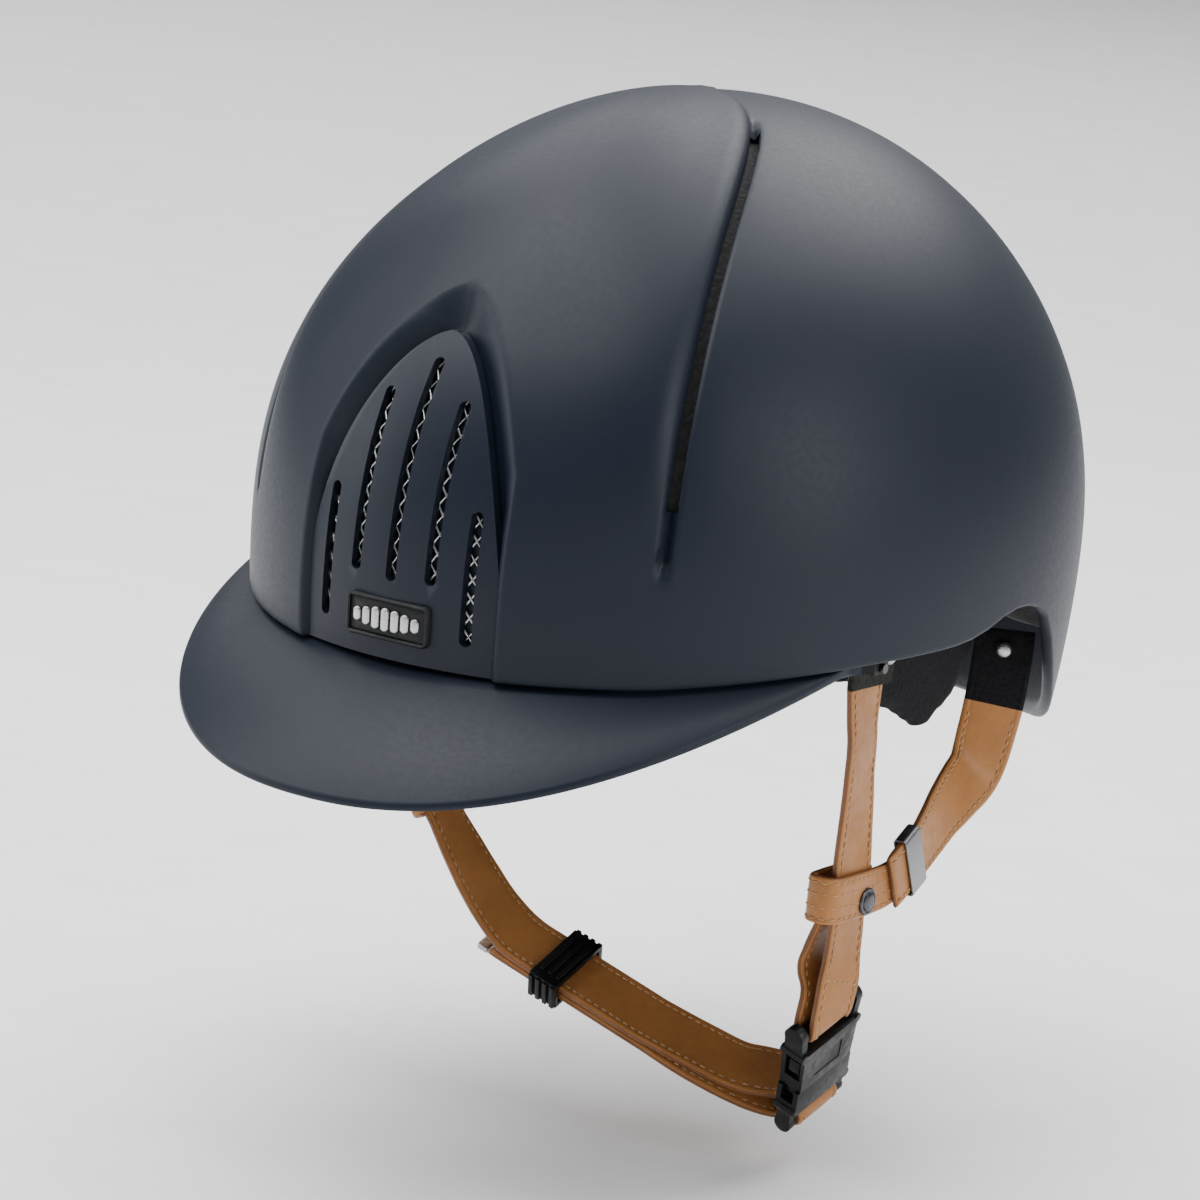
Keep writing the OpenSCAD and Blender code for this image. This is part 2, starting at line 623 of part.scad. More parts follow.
module anchor_rivets() {
    color(steel) for (s = [-1, 1]) {
        for (y = [-48, -34]) translate([s * 91.5, y, 10]) rotate([0, s * 90, 0]) cylinder(h = 2, r = 2.4, $fn = 32);
    }
    color(steel) translate([90.2, 35.5, 3]) rotate([0, 90, -58.5]) cylinder(h = 1.6, r = 3, $fn = 32);
    color(steel) translate([-83.5, 38, 8]) rotate([0, -90, -24]) cylinder(h = 1.6, r = 3, $fn = 32);
}

loop_h = 14;
loop_wall = 1.8;

// A flat leather loop, open along Z, for a strap whose width lies along Y
module strap_loop(inner_x, inner_y, h, wall) {
    linear_extrude(h, center = true) difference() {
        square([inner_x + 2 * wall, inner_y + 2 * wall], center = true);
        square([inner_x, inner_y], center = true);
    }
}

divider_at = [85.75, -35.7, -59.2];
divider_inner = [7.2, 21.4];
far_lean = 37.9;

// The loop goes round the cheek strap and its folded end, and its rear end reaches the rear strap
module divider_body() {
    strap_loop(divider_inner.x, divider_inner.y, loop_h, loop_wall);
    translate([divider_inner.x / 2 + 0.9, 16.6, 0.8]) cube([loop_wall, 10, 11.6], center = true);
}

module divider_left() {
    color(tan_leather) translate(divider_at) divider_body();
}

module divider_snap() {
    translate([divider_inner.x / 2 + loop_wall + 0.1, 5.4, -2.4]) rotate([0, 90, 0]) {
        cylinder(h = 1, r = 4, $fn = 40);
        cylinder(h = 1.5, r = 3, $fn = 40);
    }
}

// Folded steel clip round a rear strap, halfway between two points of its path
clip_l = 8.6;
module divider_clip(from, to, across) {
    u = unit(to - from);
    v = square_to(across, u);
    translate((from + to) / 2) rotate(turn_axes(cross(u, v), u, v)) difference() {
        cube([4.4, clip_l, strap_w + 1.8], center = true);
        cube([3, clip_l + 1, strap_w + 0.6], center = true);
    }
}

module far_side() {
    translate(far_divider_at) rotate([0, -far_lean, 0]) mirror([1, 0, 0]) children();
}

module divider_right() {
    color(tan_leather) far_side() {
        strap_loop(3.6, divider_inner.y, loop_h, loop_wall);
        translate([2.7, 14.6, 0]) cube([loop_wall, 6, 11.6], center = true);
    }
}

module divider_snap_left() {
    color(black) translate(divider_at) divider_snap();
}

module divider_snap_right() {
    color(black) far_side() translate([-1.8, 0, 0]) divider_snap();
}

module divider_clip_left() {
    color(steel) divider_clip(rear_path_left[1], rear_path_left[2], rear_across_left[1]);
}

module divider_clip_right() {
    color(steel) divider_clip(rear_path_right[1], rear_path_right[2], rear_across_right[1]);
}

// ---- Buckle, in its own frame: upper bar at the origin, length along -Z, width along Y ---------------

module buckle_place() {
    translate(buckle_top) rotate(buckle_turn) children();
}

socket_h = 21;
wall = 1.4;
window_z = -13.4;
plug_top = -socket_h - 0.4;
plug_base = -buckle_len + wrap_r + strap_t / 2 + 0.5;
bar_end = buckle_w / 2 - 3;
pivot = [7.9, plug_top - 2.6];
pivot_r = 1.25;
eye_r = 2.3;
pocket = 4.2;

module buckle_socket() {
    inner = [buckle_t - 2 * wall, buckle_w - 2 * wall];
    color(black) buckle_place() {
        rotate([90, 0, 0]) cylinder(h = buckle_w - 2, r = bar_r, center = true, $fn = 32);
        for (s = [-1, 1]) translate([0, s * (buckle_w / 2 - 0.9), -2.7]) cube([6, 1.8, 8.4], center = true);
        difference() {
            translate([0, 0, -6.2 - (socket_h - 6.2) / 2]) cube([buckle_t, buckle_w, socket_h - 6.2], center = true);
            translate([0, 0, -8 - socket_h / 2]) cube([inner.x, inner.y, socket_h], center = true);
            for (s = [-1, 1]) translate([0, s * buckle_w / 2, window_z]) cube([inner.x, 4, 8], center = true);
        }
    }
}

module buckle_plug() {
    base_h = plug_top - plug_base;
    color(black) buckle_place() {
        difference() {
            translate([0, 0, (plug_top + plug_base) / 2]) cube([buckle_t - 0.6, buckle_w - 1, base_h], center = true);
            for (s = [-1, 1]) translate([0, s * 10.1, plug_top - 1.6]) cube([pocket, 9.8, 7.4], center = true);
        }
        translate([0, 0, plug_top + 5.6]) cube([3.4, 3, 12.4], center = true);
        for (s = [-1, 1]) {
            translate([0, s * (bar_end + 1.3), (plug_base - buckle_len) / 2 - 1])
                cube([4.4, 2.4, plug_base + buckle_len + 3], center = true);
            translate([0, s * pivot.x, pivot.y]) rotate([0, 90, 0])
                cylinder(h = pocket + 1, r = pivot_r, center = true, $fn = 32);
        }
        translate([0, 0, -buckle_len]) rotate([90, 0, 0]) cylinder(h = 2 * bar_end + 2, r = bar_r, center = true, $fn = 32);
    }
}

// A springy side arm of the plug, which swings inward about its root
module prong(s) {
    buckle_place() difference() {
        union() {
            translate([0, s * pivot.x, pivot.y]) rotate([0, 90, 0]) cylinder(h = 3.6, r = eye_r, center = true, $fn = 40);
            translate([0, s * pivot.x, (pivot.y + window_z + 2) / 2]) cube([3.6, 2, window_z - pivot.y + 2], center = true);
            translate([0, s * (pivot.x + 1.8), window_z]) cube([3.6, 2.2, 4.4], center = true);
        }
        translate([0, s * pivot.x, pivot.y]) rotate([0, 90, 0])
            cylinder(h = 9, r = pivot_r + 0.1, center = true, $fn = 40);
    }
}

module prong_front() {
    color(black) prong(-1);
}

module prong_rear() {
    color(black) prong(1);
}

// ---- Keeper ----------------------------------------------------------------------------------------

keeper_at = mix(keeper_from, keeper_to, 0.4) + tail_gap * 0.5;

module strap_keeper() {
    inner = 6.4;
    rib_w = 1.6;
    color(black) translate(keeper_at) rotate(turn_axes(chin_face, chin_across, keeper_along)) {
        strap_loop(inner, strap_w + 1.4, 10, 1.6);
        for (k = [-1, 0, 1]) translate([-inner / 2 - 2, 0, k * 3.2]) cube([1, strap_w - 2, rib_w], center = true);
    }
}

outer_shell();
visor();
visor_end_blocks();
visor_screws();
front_grille();
front_mesh();
badge_frame();
badge_plate();
rear_grille();
rear_mesh();
foam_liner();
crown_pad();
brow_pad();
nape_pad();
ear_flap_left();
ear_flap_right();
hook_dots();
strap_tab_left();
strap_tab_right();
anchor_rivets();
rear_strap_left();
rear_strap_right();
cheek_strap_left();
chin_strap();
divider_left();
divider_right();
divider_snap_left();
divider_snap_right();
divider_clip_left();
divider_clip_right();
buckle_socket();
buckle_plug();
prong_front();
prong_rear();
strap_tail_tip();
strap_keeper();
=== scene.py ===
"""Builds the riding helmet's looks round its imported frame.

Blender works in metres. The shape formulas work in the CAD's millimetres, which piece() converts.
The helmet's front is -Y and up is +Z.
"""
import math

import bmesh
import bpy
import numpy as np
from mathutils import Matrix, Vector


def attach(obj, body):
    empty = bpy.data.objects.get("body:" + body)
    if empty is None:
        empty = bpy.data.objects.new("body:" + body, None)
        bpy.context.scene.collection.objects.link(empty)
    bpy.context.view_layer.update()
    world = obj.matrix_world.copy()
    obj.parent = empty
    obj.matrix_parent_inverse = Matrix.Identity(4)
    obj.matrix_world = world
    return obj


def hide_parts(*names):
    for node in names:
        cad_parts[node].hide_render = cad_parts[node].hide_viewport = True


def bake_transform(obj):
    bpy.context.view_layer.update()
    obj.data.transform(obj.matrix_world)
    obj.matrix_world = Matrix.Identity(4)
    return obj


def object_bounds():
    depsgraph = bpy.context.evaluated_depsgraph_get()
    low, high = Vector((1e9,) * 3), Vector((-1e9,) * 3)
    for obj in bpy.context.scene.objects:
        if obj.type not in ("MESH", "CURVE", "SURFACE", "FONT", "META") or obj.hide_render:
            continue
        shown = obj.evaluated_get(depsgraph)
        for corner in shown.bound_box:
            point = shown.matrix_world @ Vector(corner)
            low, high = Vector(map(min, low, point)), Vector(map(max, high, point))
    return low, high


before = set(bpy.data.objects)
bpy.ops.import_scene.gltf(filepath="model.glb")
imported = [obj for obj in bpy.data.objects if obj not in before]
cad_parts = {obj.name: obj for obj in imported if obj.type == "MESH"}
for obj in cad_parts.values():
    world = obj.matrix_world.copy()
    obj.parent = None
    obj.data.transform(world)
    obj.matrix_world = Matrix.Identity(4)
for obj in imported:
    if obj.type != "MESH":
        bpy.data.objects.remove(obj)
CAD_BOX = [[float(v) for v in corner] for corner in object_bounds()]
MM = 0.001

# ---- Camera, lights and floor --------------------------------------------------------------------

VIEW_AZ, VIEW_EL, VIEW_ROLL = 31.78, 11.612, 6.005
VIEW_DISTANCE = 1.5
FRAME_PX, PX_PER_M = 1200, 3411.0
ORIGIN_PX = (676.5, 612.8)        # where the frame's origin falls in the picture
LIT_POINT = Vector((0, 0, 0.03))


def toward(az, el):
    """Direction from the helmet at an azimuth and an elevation, in degrees."""
    a, e = math.radians(az), math.radians(el)
    return Vector((math.sin(a) * math.cos(e), -math.cos(a) * math.cos(e), math.sin(e)))


def place_camera():
    az, roll = math.radians(VIEW_AZ), math.radians(VIEW_ROLL)
    back = toward(VIEW_AZ, VIEW_EL)
    right = Vector((math.cos(az), math.sin(az), 0))
    up = back.cross(right)
    x = right * math.cos(roll) + up * math.sin(roll)
    y = up * math.cos(roll) - right * math.sin(roll)
    cam = bpy.data.cameras.new("camera")
    cam.sensor_width = 36
    cam.lens = 36 * PX_PER_M * VIEW_DISTANCE / FRAME_PX
    cam.shift_x = (FRAME_PX / 2 - ORIGIN_PX[0]) / FRAME_PX
    cam.shift_y = (ORIGIN_PX[1] - FRAME_PX / 2) / FRAME_PX
    obj = bpy.data.objects.new("camera", cam)
    bpy.context.scene.collection.objects.link(obj)
    turn = Matrix((x, y, back)).transposed().to_4x4()
    obj.matrix_world = Matrix.Translation(back * VIEW_DISTANCE) @ turn
    bpy.context.scene.camera = obj


def softbox(name, az, el, distance, size, power):
    light = bpy.data.lights.new(name, "AREA")
    light.shape = "RECTANGLE"
    light.size, light.size_y = size
    light.energy = power
    obj = bpy.data.objects.new(name, light)
    bpy.context.scene.collection.objects.link(obj)
    where = toward(az, el) * distance
    obj.location = where + LIT_POINT
    obj.rotation_euler = where.to_track_quat("Z", "Y").to_euler()


place_camera()
softbox("top_box", -25, 62, 1.3, (1.0, 0.9), 15)
softbox("left_box", -56, 24, 1.2, (0.5, 1.1), 8)
softbox("right_box", 92, 20, 1.4, (0.5, 0.9), 9)
softbox("back_box", 170, 50, 1.3, (1.0, 0.7), 8)
softbox("sky_box", -148, 66, 3.6, (5.0, 5.0), 250)

world = bpy.data.worlds.new("world")
bpy.context.scene.world = world
world.use_nodes = True
sky = world.node_tree.nodes["Background"].inputs
sky["Color"].default_value = (0.93, 0.94, 0.96, 1)
sky["Strength"].default_value = 0.36

# ---- Materials ---------------------------------------------------------------------------------


class Look:
    """A procedural material built from a few texture layers."""

    def __init__(self, name, rough, metallic=0.0, **sockets):
        self.mat = bpy.data.materials.new(name)
        self.mat.use_nodes = True
        self.tree = self.mat.node_tree
        self.bsdf = self.tree.nodes["Principled BSDF"]
        self.bsdf.inputs["Metallic"].default_value = metallic
        self.bsdf.inputs["Roughness"].default_value = rough
        for key, value in sockets.items():
            self.bsdf.inputs[key.replace("_", " ")].default_value = value
        self.where = self.node("ShaderNodeTexCoord").outputs["Object"]
        self.normal = None

    def node(self, kind, **values):
        made = self.tree.nodes.new(kind)
        for key, value in values.items():
            if key in made.inputs:
                made.inputs[key].default_value = value
            else:
                setattr(made, key, value)
        return made

    def link(self, a, b):
        self.tree.links.new(a, b)

    def stretched(self, scale):
        mapping = self.node("ShaderNodeMapping")
        mapping.inputs["Scale"].default_value = scale
        self.link(self.where, mapping.inputs["Vector"])
        return mapping.outputs["Vector"]

    def noise(self, scale, detail=3.0, stretch=None):
        tex = self.node("ShaderNodeTexNoise", Scale=scale, Detail=detail)
        self.link(self.stretched(stretch) if stretch else self.where, tex.inputs["Vector"])
        return tex.outputs["Fac"]

    def cells(self, scale, feature="DISTANCE_TO_EDGE"):
        tex = self.node("ShaderNodeTexVoronoi", Scale=scale)
        tex.feature = feature
        self.link(self.where, tex.inputs["Vector"])
        return tex.outputs["Distance"]

    def waves(self, scale, direction, distortion=0.0):
        tex = self.node("ShaderNodeTexWave", Scale=scale, Distortion=distortion)
        tex.bands_direction = direction
        self.link(self.where, tex.inputs["Vector"])
        return tex.outputs["Fac"]

    def spread(self, value, low, high, a=0.35, b=0.65):
        ramp = self.node("ShaderNodeMapRange")
        for key, v in (("From Min", a), ("From Max", b), ("To Min", low), ("To Max", high)):
            ramp.inputs[key].default_value = v
        self.link(value, ramp.inputs["Value"])
        return ramp.outputs["Result"]

    def colours(self, value, dark, light, a=0.35, b=0.65):
        ramp = self.node("ShaderNodeValToRGB")
        ramp.color_ramp.elements[0].position, ramp.color_ramp.elements[0].color = a, (*dark, 1)
        ramp.color_ramp.elements[1].position, ramp.color_ramp.elements[1].color = b, (*light, 1)
        self.link(value, ramp.inputs["Fac"])
        return ramp.outputs["Color"]

    def blend(self, factor, a, b, mode="MIX"):
        mix = self.node("ShaderNodeMix")
        mix.data_type, mix.blend_type = "RGBA", mode
        for source, socket in ((factor, mix.inputs[0]), (a, mix.inputs[6]), (b, mix.inputs[7])):
            if isinstance(source, (int, float)):
                socket.default_value = source
            elif isinstance(source, tuple):
                socket.default_value = (*source, 1)
            else:
                self.link(source, socket)
        return mix.outputs[2]

    def edges(self, low=0.52, high=0.6):
        return self.spread(self.node("ShaderNodeNewGeometry").outputs["Pointiness"], 0, 1, low, high)

    def colour(self, value):
        self.link(value, self.bsdf.inputs["Base Color"])
        return self

    def roughness(self, value):
        self.link(value, self.bsdf.inputs["Roughness"])
        return self

    def bump(self, value, strength, distance):
        made = self.node("ShaderNodeBump", Strength=strength, Distance=distance)
        self.link(value, made.inputs["Height"])
        if self.normal:
            self.link(self.normal, made.inputs["Normal"])
        self.normal = made.outputs["Normal"]
        self.link(self.normal, self.bsdf.inputs["Normal"])
        return self


def paint(name, rough):
    look = Look(name, rough, Specular_IOR_Level=0.25, IOR=1.46)
    base = look.colours(look.noise(9), (0.0066, 0.0098, 0.0185), (0.0072, 0.0106, 0.0198))
    # Sharp convex edges are painted lighter: a painted highlight where a bevel would catch the light.
    highlit_edges = look.blend(look.edges(0.53, 0.62), base, (0.022, 0.027, 0.038))
    look.colour(highlit_edges).roughness(look.spread(look.noise(700, 4), rough - 0.03, rough + 0.03))
    return look.bump(look.noise(2200, 2), 0.03, 0.0001).mat


def leather(name, dark, light, rough=0.5):
    look = Look(name, rough, Sheen_Weight=0.05, Specular_IOR_Level=0.3)
    tone = look.colours(look.noise(75, 6), dark, light, 0.3, 0.7)
    creased = look.blend(look.spread(look.noise(420, 4), 0, 0.14), tone, tuple(c * 0.45 for c in dark))
    look.colour(look.blend(look.edges(0.54, 0.64), creased, tuple(c * 0.7 for c in dark)))
    look.roughness(look.spread(look.noise(300, 4), rough - 0.1, rough + 0.12))
    return look.bump(look.cells(1500), 0.22, 0.00025).bump(look.noise(520, 5), 0.18, 0.0003).mat


def plastic(name, colour, rough, grain=2600.0, strength=0.16):
    look = Look(name, rough, Specular_IOR_Level=0.26)
    base = look.colours(look.noise(160, 4), colour, tuple(c * 1.35 for c in colour))
    # Sharp convex edges are painted lighter: a painted highlight.
    look.colour(look.blend(look.edges(), base, tuple(min(c * 1.5, 1) for c in colour)))
    look.roughness(look.spread(look.noise(500, 3), rough - 0.07, rough + 0.09))
    return look.bump(look.cells(grain, "F1"), strength, 0.00015).mat


def metal(name, colour, rough, stretch):
    look = Look(name, rough, 1.0)
    hair = look.noise(260, 6, stretch)
    look.colour(look.colours(hair, tuple(c * 0.78 for c in colour), colour))
    look.roughness(look.spread(hair, rough - 0.06, rough + 0.12))
    return look.bump(hair, 0.06, 0.0001).mat


def cloth(name, dark, light, pitch, rough=0.95):
    look = Look(name, rough, Sheen_Weight=0.07, Sheen_Roughness=0.5, Specular_IOR_Level=0.15)
    look.bsdf.inputs["Sheen Tint"].default_value = (0.5, 0.5, 0.55, 1)
    warp, weft = look.waves(pitch, "Z", 0.6), look.waves(pitch * 0.8, "DIAGONAL", 0.6)
    knit = look.node("ShaderNodeMath", operation="MULTIPLY")
    look.link(warp, knit.inputs[0])
    look.link(weft, knit.inputs[1])
    fuzz = look.noise(900, 6)
    tone = look.colours(knit.outputs[0], dark, light, 0.1, 0.7)
    look.colour(look.blend(look.spread(fuzz, 0, 0.5), tone, tuple(c * 1.9 for c in light)))
    return look.bump(knit.outputs[0], 0.7, 0.0008).bump(fuzz, 0.8, 0.0012).mat


def foam(name):
    look = Look(name, 0.82)
    beads = look.cells(330)
    look.colour(look.colours(beads, (0.004, 0.004, 0.005), (0.011, 0.011, 0.013), 0.0, 0.16))
    return look.bump(beads, 0.5, 0.0012).bump(look.noise(700, 4), 0.2, 0.0003).mat


def thread(name):
    look = Look(name, 0.6, Sheen_Weight=0.3)
    twist = look.waves(2400, "DIAGONAL", 1.5)
    look.colour(look.colours(twist, (0.30, 0.145, 0.05), (0.6, 0.36, 0.15), 0.2, 0.8))
    return look.bump(twist, 0.5, 0.0002).mat


NAVY = paint("navy_lacquer", 0.46)
PANEL = paint("navy_panel", 0.43)
TAN = leather("tan_leather", (0.325, 0.132, 0.036), (0.39, 0.163, 0.045), 0.42)
EDGE = leather("leather_edge", (0.15, 0.055, 0.015), (0.22, 0.085, 0.024), 0.42)
THREAD = thread("tan_thread")
BLACK = plastic("black_plastic", (0.006, 0.0063, 0.007), 0.5)
BUCKLE = plastic("buckle_plastic", (0.0035, 0.0037, 0.0042), 0.36, 3400, 0.08)
STEEL = metal("brushed_steel", (0.5, 0.5, 0.51), 0.32, (1, 1, 14))
CLIP = metal("clip_steel", (0.27, 0.27, 0.28), 0.36, (1, 1, 14))
WIRE = metal("wire", (0.78, 0.78, 0.78), 0.26, (1, 1, 1))
DARK_METAL = metal("black_nickel", (0.09, 0.09, 0.1), 0.3, (1, 12, 1))
KNIT = cloth("black_knit", (0.004, 0.004, 0.005), (0.010, 0.010, 0.012), 1500)
# The grey tab webbing is painted near black: painted shade for the shadow the tabs sit in.
SHADED_WEBBING = cloth("tab_webbing", (0.010, 0.011, 0.009), (0.03, 0.033, 0.026), 900)
FOAM = foam("bead_foam")

# ---- The shell's surface, as in the CAD ------------------------------------------------------------

HALF_W, FRONT, REAR, CROWN, LOWER, WIDEST = 112.0, 149.0, 125.0, 123.0, 197.0, 30.0
LEAN, SPAN, CURVE = 0.087, 128.0, 34.0     # the dome's tilt, and the crest line's size and bow
CREST_H, CAP_CROWN = 2.8, 2.4
WALL, FOAM_GAP, FOAM_T = 3.4, 0.6, 16.0
RIM = ((0, 3), (29, 6), (58, 13), (76, 16), (82, 18.5), (87, 23), (91, 24.5), (97, 23.5), (102, 19), (106, 9),
       (110, 0), (116, -10), (123, -18), (132, -24), (150, -29), (180, -30))
ARCH_FOOT = 3.0
ARCH_CURVES = {-1: (2, 0.6), 1: (8, 0.5)}


def unit(v):
    return v / np.linalg.norm(v, axis=-1, keepdims=True)


def soft(t):
    return 1 / (1 + np.exp(-5 * t))


def smooth(t):
    k = np.clip(t, 0, 1)
    return k * k * (3 - 2 * k)


def aim(th, ph):
    """Unit directions from the dome's centre; the upper dome leans forward."""
    th, ph = np.broadcast_arrays(np.radians(th), np.radians(ph))
    lean = LEAN * np.maximum(np.sin(ph), 0) ** 2
    d = np.stack([np.cos(ph) * np.cos(th), np.cos(ph) * np.sin(th) - lean, np.sin(ph)], -1)
    return unit(d)


def reach(d, inset):
    """Distance to the surface that lies inset millimetres inside the shell's skin."""
    a = FRONT + (REAR - FRONT) * soft(d[..., 1]) - inset
    c = LOWER + (CROWN - LOWER) * soft(d[..., 2]) - inset
    return 1 / np.sqrt((d[..., 0] / (HALF_W - inset)) ** 2 + (d[..., 1] / a) ** 2 + (d[..., 2] / c) ** 2)


def on_shell(th, ph, inset):
    d = aim(th, ph)
    return d * reach(d, inset)[..., None] + np.array([0, 0, WIDEST])


def elevation(th, z, inset=0.0):
    """Elevation at which the surface is at height z."""
    ph = np.zeros(np.broadcast(th, z).shape)
    for _ in range(5):
        ph = np.degrees(np.arcsin(np.clip((z - WIDEST) / reach(aim(th, ph), inset), -0.99, 0.99)))
    return ph


def at_height(th, z, inset):
    return on_shell(th, elevation(th, z, inset), inset)


def over(x, z, side, inset):
    """Points of the surface in front of (side -1) or behind (side 1) the upright plane."""
    x, z = np.broadcast_arrays(np.asarray(x, float), np.asarray(z, float))
    y, h = np.full(x.shape, side * 100.0), z - WIDEST
    for _ in range(8):
        d = np.stack([x, y, h], -1)
        far = reach(unit(d), inset)
        y = side * np.sqrt(np.maximum(far * far - x * x - h * h, 1))
    return np.stack([x, y, z], -1)


def rim_z(th):
    """Height of the shell's lower edge, with its corners rounded off."""
    t = (np.asarray(th) + 90) % 360
    f = np.where(t > 180, 360 - t, t)
    keys = np.array(RIM, float)
    spread = [np.interp(np.abs(np.where(f + o > 180, 360 - f - o, f + o)), keys[:, 0], keys[:, 1])
              for o in (-2.5, -1.2, 0, 1.2, 2.5)]
    return np.mean(spread, 0)


def arch(z, w, top, side):
    """Half-width at height z of an arch that is w wide at its foot and closes at top."""
    sharp, power = ARCH_CURVES[side]
    return w * (1 - np.clip((z - ARCH_FOOT) / (top - ARCH_FOOT), 0, 1) ** sharp) ** power


def spread_angle(centre, ph, w):
    """Angle from the centre at which a row is w away from the middle plane."""
    r0 = reach(aim(centre, ph), 0) * math.cos(math.radians(ph))
    t0 = math.degrees(math.asin(min(w / r0, 0.9)))
    r1 = reach(aim(centre + t0, ph), 0) * math.cos(math.radians(ph))
    return math.degrees(math.asin(min(w / r1, 0.9)))


def crest_angle(ph):
    """Angle of the crest line ahead of the side, on a row."""
    r = max(SPAN * math.cos(math.radians(ph)), 0.1)
    return math.degrees(math.asin((math.sqrt(CURVE ** 2 + 4 * r * r) - CURVE) / (2 * r)))


def arc_angle(width, ph):
    return math.degrees(width / max(SPAN * math.cos(math.radians(ph)), 6))

# ---- Meshes ----------------------------------------------------------------------------------------


def shade_smooth(obj):
    obj.data.polygons.foreach_set("use_smooth", [True] * len(obj.data.polygons))


def wear(obj, material):
    obj.data.materials.clear()
    obj.data.materials.append(material)


def ring_faces(rows, around, base=0, closed=False):
    """Quads that join rings of points; closed joins the last ring to the first."""
    return [(base + i * around + j, base + i * around + (j + 1) % around,
             base + (i + 1) % rows * around + (j + 1) % around, base + (i + 1) % rows * around + j)
            for i in range(rows if closed else rows - 1) for j in range(around)]


def end_faces(rows, around, base=0):
    """Polygons that close the first and the last ring."""
    first = tuple(base + k for k in range(around))[::-1]
    return [first, tuple(base + (rows - 1) * around + k for k in range(around))]


def piece(name, verts, faces, material, body, replaced=(), slot=None, extra=(), indices=None):
    """Makes a mesh piece from points in millimetres."""
    mesh = bpy.data.meshes.new(name)
    mesh.from_pydata((np.asarray(verts, float) * MM).tolist(), [], [tuple(int(i) for i in f) for f in faces])
    for m in (material, *extra):
        mesh.materials.append(m)
    if indices is not None:
        mesh.polygons.foreach_set("material_index", indices)
    obj = bpy.data.objects.new(name, mesh)
    shade_smooth(obj)
    mesh.update()
    bpy.context.scene.collection.objects.link(obj)
    if body:
        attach(obj, body)
    finish_piece(replaced)
    return obj


def finish_piece(replaced):
    if replaced:
        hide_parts(*([replaced] if isinstance(replaced, str) else replaced))


def outward_normals(obj):
    bm = bmesh.new()
    bm.from_mesh(obj.data)
    bmesh.ops.remove_doubles(bm, verts=bm.verts, dist=1e-6)
    bmesh.ops.recalc_face_normals(bm, faces=bm.faces)
    bm.to_mesh(obj.data)
    bm.free()


def apply_modifiers(obj):
    bpy.context.view_layer.update()
    graph = bpy.context.evaluated_depsgraph_get()
    mesh = bpy.data.meshes.new_from_object(obj.evaluated_get(graph))
    obj.modifiers.clear()
    obj.data = mesh


def sharpen(obj, degrees):
    obj.data.set_sharp_from_angle(angle=math.radians(degrees))


def solid(name, verts, faces, material, body, node, slot, sharp):
    """A closed piece with its normals outward and its edges sharp above an angle."""
    obj = piece(name, verts, faces, material, body, node, slot)
    outward_normals(obj)
    sharpen(obj, sharp)
    return obj


def round_edges(obj, width, segments, degrees):
    bevel = obj.modifiers.new("bevel", "BEVEL")
    bevel.width, bevel.segments = width * MM, segments
    bevel.limit_method, bevel.angle_limit = "ANGLE", math.radians(degrees)

# ---- The shell and the foam ------------------------------------------------------------------------


FRONT_PARTS = (8, 9, 26, 7)      # cells of the front floor, recess wall, field and crest bevel
REAR_PARTS = (8, 7, 34, 3, 2)    # cells of the rear floor, recess wall, field, slot edge and slot
RECESS = 6.0
BEVEL_W, STEP_W, SLOT_W, ROUND_W = 6.0, 0.9, 3.0, 1.4
RIM_ROWS = 16
# Half-width and height of the arches that bound each recess, and of the crest's foot
FRONT_FLOOR, FRONT_EDGE, FRONT_BASE = (34.2, 94.2), (41, 105.5), (41, 122)
REAR_FLOOR, REAR_EDGE = (41, 119), (48, 127)


def sections(stops, parts):
    """Evenly spaced values between stops, with a count of cells for each gap."""
    out = [np.linspace(a, b, n, endpoint=False) for a, b, n in zip(stops[:-1], stops[1:], parts)]
    return np.concatenate(out + [[stops[-1]]])


def params(parts):
    """Each value's section number and its share of the way through that section."""
    section = np.concatenate([np.full(n, i) for i, n in enumerate(parts)] + [[len(parts) - 1]])
    share = np.concatenate([np.arange(n) / n for n in parts] + [[1.0]])
    return section, share


def rise(ph, a, b):
    return float(smooth((ph - a) / (b - a))) if ph >= 0 else 0.0


def soft_step(k):
    return 0.3 * np.clip(k, 0, 1) + 0.7 * smooth(k)


def arch_angle(side, ph, z, outline, least, most):
    """Angle at which an arch crosses a row, at least some millimetres and at most some degrees out."""
    return min(spread_angle(90 * side, ph, max(arch(z, *outline, side), least)), most)


def front_half(ph, z):
    """Angles from the front's middle, outward offsets and recess depths of half a row."""
    up = max(ph, 0)
    limit = 90 - crest_angle(up)
    bevel = limit - arc_angle(BEVEL_W, up)
    edge = arch_angle(-1, up, z, FRONT_EDGE, 1.6, 0.5 * bevel)
    floor = arch_angle(-1, up, z, FRONT_FLOOR, 0.7, edge * 0.85)
    base = arch_angle(-1, up, z, FRONT_BASE, 1, 0.5 * bevel)
    section, share = params(FRONT_PARTS)
    angle = sections((0, floor, edge, bevel, limit), FRONT_PARTS)
    start = np.clip((z - FRONT_FLOOR[1]) / (FRONT_EDGE[1] - FRONT_FLOOR[1]), 0, 1)
    slope = np.sqrt(start ** 2 + (1 - start ** 2) * np.where(section == 1, share, 0) ** 2)
    cut = RECESS * np.where(section < 2, 1 - soft_step(slope), 0)
    to_edge = np.where(section == 3, 1, smooth((angle - base) / (bevel - base)))
    to_middle = smooth(1.25 * (1 - angle / bevel))
    raised = 1 - (1 - rise(ph, 0, 26) * to_edge) * (1 - rise(ph, 27, 52))
    lift = CREST_H * raised + CAP_CROWN * rise(ph, 27, 66) * (1 - rise(ph, 66, 90)) * to_middle
    lift = np.where(section == 3, lift * (1 - 0.72 * share ** 2.4), lift)
    return angle, lift - cut, cut


